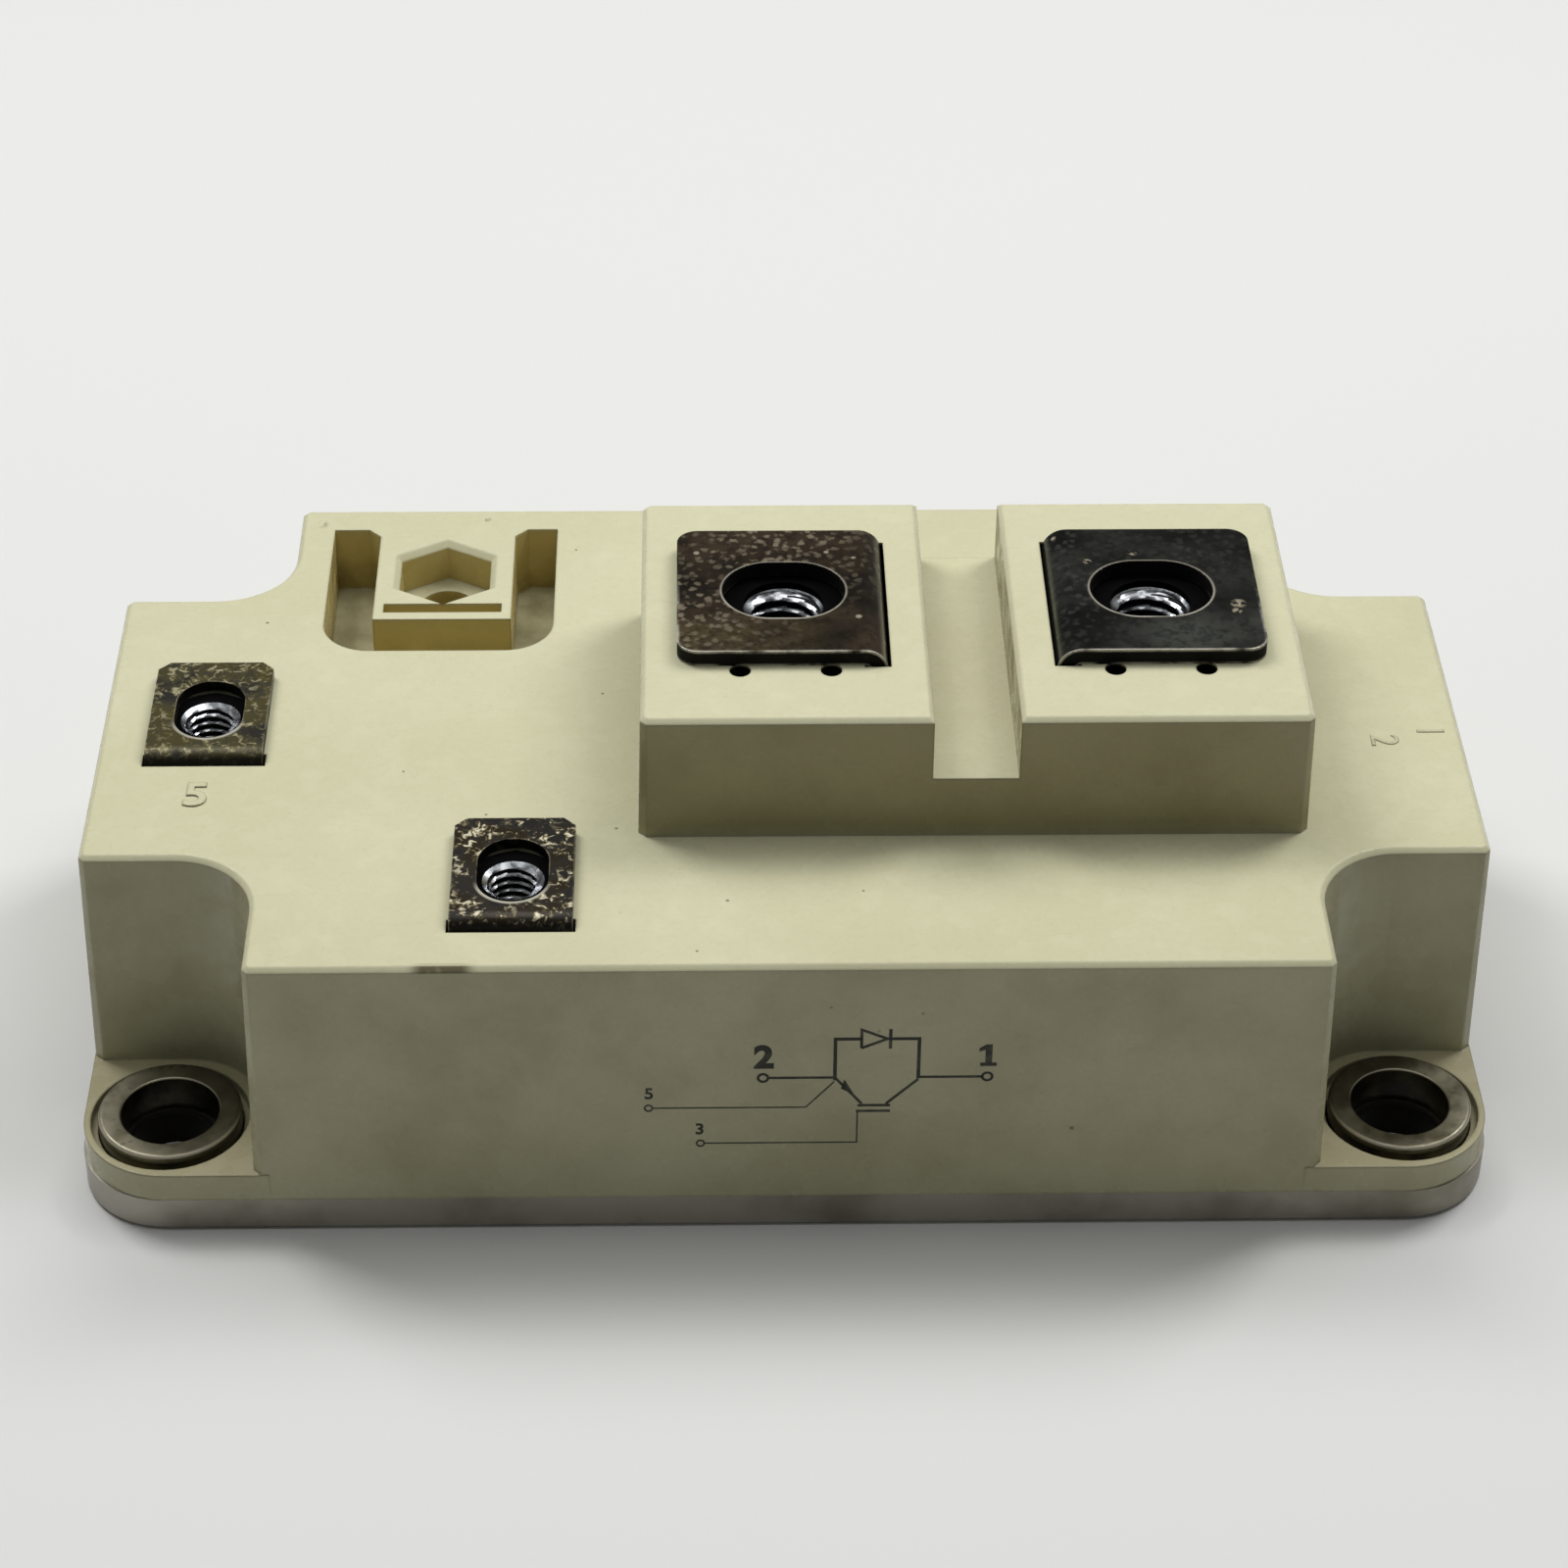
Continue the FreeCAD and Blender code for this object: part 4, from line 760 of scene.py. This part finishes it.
def make_ring(node):
    """A ring whose top edges are rolled, dark in its bore and on its outside below the skirt."""
    low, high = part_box(node)
    outer = (high[0] - low[0]) / 2
    inner = outer - RING_WALL
    middle = (inner + outer) / 2
    lip = high[2] - LIP_DEPTH
    skirt = high[2] - SKIRT_DEPTH
    section = [(inner, low[2]), (outer, low[2]), (outer, skirt)]
    section += rolled(outer, high[2], OUTER_ROLL, True)
    section += rolled(inner, high[2] - INNER_DROP, INNER_ROLL, False)
    rings = [[point] * RING_STEPS for point in section]
    piece = turned_mesh(
        f"turned_{node}", rings, centre_of(node), (SLOT_MATERIALS["ring_steel"], RING_SHADE),
        lambda radius, height: int(height < (lip if radius < middle else skirt)),
    )
    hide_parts(node)
    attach(piece, "root")


for end in ("front", "back"):
    for side in ("left", "right"):
        make_ring(f"mounting_ring_{end}_{side}")


# Print and moulded numbers: flat shapes laid on a face of the housing, drawn in millimetres

INK_THICK = 0.02 * MM
HOOP_STEPS = 28
FONT_CAPITAL = 0.7
FONT_CURVE_STEPS = 6


class Face:
    """Places a flat drawing, in millimetres, on a face: origin, its two directions and its outward normal."""

    def __init__(self, origin, across, up):
        self.origin = Vector(origin)
        self.across = Vector(across).normalized()
        self.up = Vector(up).normalized()
        self.out = self.across.cross(self.up)

    def point(self, x, y, height=0.0):
        return self.origin + (self.across * x + self.up * y) * MM + self.out * height


def add_prism(mesh, face, outline, thick):
    """Solid of an outline of (x, y) points, raised from just under the face."""
    lower = [mesh.verts.new(face.point(x, y, -thick)) for x, y in outline]
    upper = [mesh.verts.new(face.point(x, y, thick)) for x, y in outline]
    mesh.faces.new(upper)
    mesh.faces.new(lower[::-1])
    for index in range(len(outline)):
        ahead = (index + 1) % len(outline)
        mesh.faces.new((lower[index], lower[ahead], upper[ahead], upper[index]))


def stroke(points, width):
    """Outline of a line of even width through points, mitred at its corners."""
    left = []
    right = []
    for index, point in enumerate(points):
        here = Vector(point)
        before = (here - Vector(points[index - 1])).normalized() if index else None
        after = (Vector(points[index + 1]) - here).normalized() if index + 1 < len(points) else None
        along = ((before or after) + (after or before)).normalized()
        side = Vector((-along.y, along.x))
        normal = Vector((-(before or after).y, (before or after).x))
        reach = width / 2 / side.dot(normal)
        left.append(tuple(here + side * reach))
        right.append(tuple(here - side * reach))
    return left + right[::-1]


def arc(x, y, radius, start):
    """Half a circle's points, from an angle on."""
    steps = HOOP_STEPS // 2
    angles = [start + math.pi * index / steps for index in range(steps + 1)]
    return [(x + radius * math.cos(angle), y + radius * math.sin(angle)) for angle in angles]


def add_hoop(mesh, face, x, y, radius, width, thick):
    """Flat ring, as two halves that meet."""
    for start in (0, math.pi):
        outer = arc(x, y, radius + width / 2, start)
        inner = arc(x, y, radius - width / 2, start)
        add_prism(mesh, face, outer + inner[::-1], thick)


def add_number(name, text, face, x, y, high, material, thick, heavy):
    """A numeral set with its foot's middle at (x, y), its strokes made heavier by heavy."""
    curve = bpy.data.curves.new(name, "FONT")
    curve.body = text
    curve.align_x = "CENTER"
    curve.size = high * MM / FONT_CAPITAL
    curve.offset = heavy * MM
    curve.extrude = thick
    curve.resolution_u = FONT_CURVE_STEPS
    holder = bpy.data.objects.new(name, curve)
    bpy.context.scene.collection.objects.link(holder)
    bpy.context.view_layer.update()
    data = bpy.data.meshes.new_from_object(holder.evaluated_get(bpy.context.evaluated_depsgraph_get()))
    bpy.data.objects.remove(holder)
    turn = Matrix((face.across, face.up, face.out)).transposed().to_4x4()
    data.transform(Matrix.Translation(face.point(x, y)) @ turn)
    piece = bpy.data.objects.new(name, data)
    bpy.context.scene.collection.objects.link(piece)
    data.materials.clear()
    data.materials.append(material)
    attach(piece, "root")


# The printed circuit, in millimetres across the front and up it from the base plate's underside

FRONT = Face(
    (0, CASE_FRONT - PLATE_TOP * math.tan(DRAFT), 0),
    (1, 0, 0),
    (0, math.sin(DRAFT), math.cos(DRAFT)),
)
WIDE_LINE = 0.26
MIDDLE_LINE = 0.8 * WIDE_LINE
SYMBOL_LINE = 0.22
THIN_LINE = 0.11
LEFT, RIGHT = 3.3, 9.4
LEVEL, UPPER = 14.4, 18.0
GATE_LEFT, GATE_RIGHT, GATE_LEVEL = 5.0, 7.4, 11.6
DIODE_BACK, DIODE_TIP = 5.2, 7.1
GATE_END = (-6.2, 8.2)
SENSE_END = (-10.0, 11.6)

CIRCUIT_LINES = (
    (((-1.55, LEVEL), (LEFT - WIDE_LINE / 2, LEVEL)), MIDDLE_LINE),
    (((LEFT, LEVEL - WIDE_LINE), (LEFT, UPPER), (DIODE_BACK, UPPER)), WIDE_LINE),
    (((7.4, UPPER), (RIGHT, UPPER), (RIGHT, LEVEL - WIDE_LINE / 2)), WIDE_LINE),
    (((RIGHT + WIDE_LINE / 2, LEVEL), (14.1, LEVEL)), MIDDLE_LINE),
    (((LEFT, LEVEL), (5.3, GATE_LEVEL + 0.3)), MIDDLE_LINE),
    (((RIGHT, LEVEL - 0.2), (7.1, GATE_LEVEL + 0.3)), MIDDLE_LINE),
    (((GATE_LEFT, GATE_LEVEL + 0.14), (GATE_RIGHT, GATE_LEVEL + 0.14)), SYMBOL_LINE),
    (((GATE_LEFT - 0.1, GATE_LEVEL - 0.4), (GATE_RIGHT, GATE_LEVEL - 0.4)), SYMBOL_LINE),
    (((GATE_LEFT, GATE_LEVEL - 0.5), (GATE_LEFT, GATE_END[1]), GATE_END), THIN_LINE),
    (((LEFT - 0.05, LEVEL - 0.4), (1.2, SENSE_END[1]), SENSE_END), THIN_LINE),
    (((DIODE_BACK, UPPER - 0.85), (DIODE_BACK, UPPER + 0.85), (DIODE_TIP, UPPER),
      (DIODE_BACK, UPPER - 0.85)), SYMBOL_LINE),
    (((7.3, UPPER - 0.9), (7.3, UPPER + 0.9)), 0.24),
)
ARROW_HEAD = ((3.75, 13.35), (4.75, 12.75), (4.0, 14.2))
PRINTED_ONE = (
    (13.9, 15.4), (15.1, 15.4), (15.1, 15.7), (14.75, 15.7), (14.75, 17.4), (14.3, 17.4), (13.8, 17.05),
    (13.8, 16.75), (14.25, 16.9), (14.25, 15.7), (13.9, 15.7),
)

# Ends of the lines, as (x, y, radius, width), and the other numerals, as (text, x, y, height, added weight)

CIRCUIT_ENDS = (
    (-1.95, LEVEL, 0.36, 0.2), (14.45, LEVEL, 0.36, 0.2),
    (SENSE_END[0] - 0.35, SENSE_END[1], 0.28, 0.13), (GATE_END[0] - 0.35, GATE_END[1], 0.28, 0.13),
)
CIRCUIT_NUMBERS = (
    ("2", -1.9, 15.4, 2.0, 0.12), ("5", -10.3, 12.5, 1.0, 0.03), ("3", -6.6, 9.1, 1.0, 0.03),
)


def make_schematic():
    """Circuit of a transistor with its diode, as thin printed lines with numbered ends."""
    material = print_ink()
    mesh = bmesh.new()
    for points, width in CIRCUIT_LINES:
        add_prism(mesh, FRONT, stroke(points, width), INK_THICK)
    add_prism(mesh, FRONT, ARROW_HEAD, INK_THICK)
    add_prism(mesh, FRONT, PRINTED_ONE, INK_THICK)
    for x, y, radius, width in CIRCUIT_ENDS:
        add_hoop(mesh, FRONT, x, y, radius, width, INK_THICK)
    bmesh.ops.recalc_face_normals(mesh, faces=mesh.faces)
    piece = finish_mesh("printed_circuit", mesh, material)
    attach(piece, "root")
    for text, x, y, high, heavy in CIRCUIT_NUMBERS:
        add_number(f"printed_number_{text}", text, FRONT, x, y, high, material, INK_THICK, heavy)


make_schematic()


# Numbers moulded into the top face, the last two of which read from the right end

TOP = Face((0, 0, BODY_TOP), (1, 0, 0), (0, 1, 0))
TOP_FROM_RIGHT = Face((47.6 * MM, -2.0 * MM, BODY_TOP), (0, -1, 0), (1, 0, 0))
RAISED = 0.13 * MM
RAISED_LOW = 0.06 * MM


def make_moulded_numbers():
    material = SLOT_MATERIALS["housing_plastic"]
    for text, face, x, y, high, raised, heavy in (
        ("5", TOP, -44.5, -10.7, 2.8, RAISED, 0.1),
        ("1", TOP_FROM_RIGHT, 0, 1.5, 2.2, RAISED_LOW, 0.0),
        ("2", TOP_FROM_RIGHT, 1.2, -2.2, 2.2, RAISED_LOW, 0.0),
    ):
        add_number(f"moulded_number_{text}", text, face, x, y, high, material, raised, heavy)


make_moulded_numbers()


# Floor, light and camera

FLOOR_HALF = 3.0
LIGHT_AIM = (0, 0, 0.02)

# Lights: name, place, size and power

LIGHTS = (
    ("back_left", (-0.28, 0.22, 0.5), (0.2, 0.3), 1.36),
    ("back_right", (0.3, 0.22, 0.5), (0.2, 0.3), 1.36),
    ("overhead", (0.0, 0.08, 0.6), (0.5, 0.4), 1.26),
)

# Camera fitted to the photograph: place and lens in millimetres, angles in degrees

CAMERA_PLACE = (-6.57, -251.85, 206.58)
CAMERA_PITCH = 36.749
CAMERA_YAW = 1.534
CAMERA_ROLL = 0.598
CAMERA_LENS = 91.9
CAMERA_SENSOR = 36.0
CAMERA_CLIP = 0.01

SKY = tone("F4F6F4")
SKY_STRENGTH = 0.13


def make_floor():
    mesh = bmesh.new()
    bmesh.ops.create_grid(mesh, x_segments=1, y_segments=1, size=FLOOR_HALF)
    paint = Paint("pale_floor", roughness=0.8, specular=0.2)
    paint.feed("Base Color", paint.blend(paint.noise(8), tone("E8E8E6"), tone("EAEAE8")))
    floor = finish_mesh("floor", mesh, paint.material)


def make_light(name, place, size, power):
    data = bpy.data.lights.new(name, "AREA")
    data.shape = "RECTANGLE"
    data.size, data.size_y = size
    data.energy = power
    light = bpy.data.objects.new(name, data)
    light.location = place
    light.rotation_euler = (Vector(LIGHT_AIM) - Vector(place)).to_track_quat("-Z", "Y").to_euler()
    bpy.context.scene.collection.objects.link(light)


def make_camera():
    """The photograph's view."""
    data = bpy.data.cameras.new("camera")
    data.sensor_width = CAMERA_SENSOR
    data.lens = CAMERA_LENS
    data.clip_start = CAMERA_CLIP
    pitch, yaw, roll = (math.radians(angle) for angle in (CAMERA_PITCH, CAMERA_YAW, CAMERA_ROLL))
    ahead = Vector((math.sin(yaw) * math.cos(pitch), math.cos(yaw) * math.cos(pitch), -math.sin(pitch)))
    right = Vector((math.cos(yaw), -math.sin(yaw), 0))
    up = right.cross(ahead)
    tilted_right = right * math.cos(roll) + up * math.sin(roll)
    tilted_up = up * math.cos(roll) - right * math.sin(roll)
    camera = bpy.data.objects.new("camera", data)
    turn = Matrix((tilted_right, tilted_up, -ahead)).transposed().to_4x4()
    camera.matrix_world = Matrix.Translation(Vector(CAMERA_PLACE) * MM) @ turn
    bpy.context.scene.collection.objects.link(camera)
    bpy.context.scene.camera = camera


def make_world():
    world = bpy.data.worlds.new("studio")
    world.use_nodes = True
    background = world.node_tree.nodes["Background"]
    background.inputs["Color"].default_value = SKY
    background.inputs["Strength"].default_value = SKY_STRENGTH
    bpy.context.scene.world = world
    bpy.context.scene.view_settings.view_transform = "Standard"


make_floor()
for light in LIGHTS:
    make_light(*light)
make_camera()
make_world()
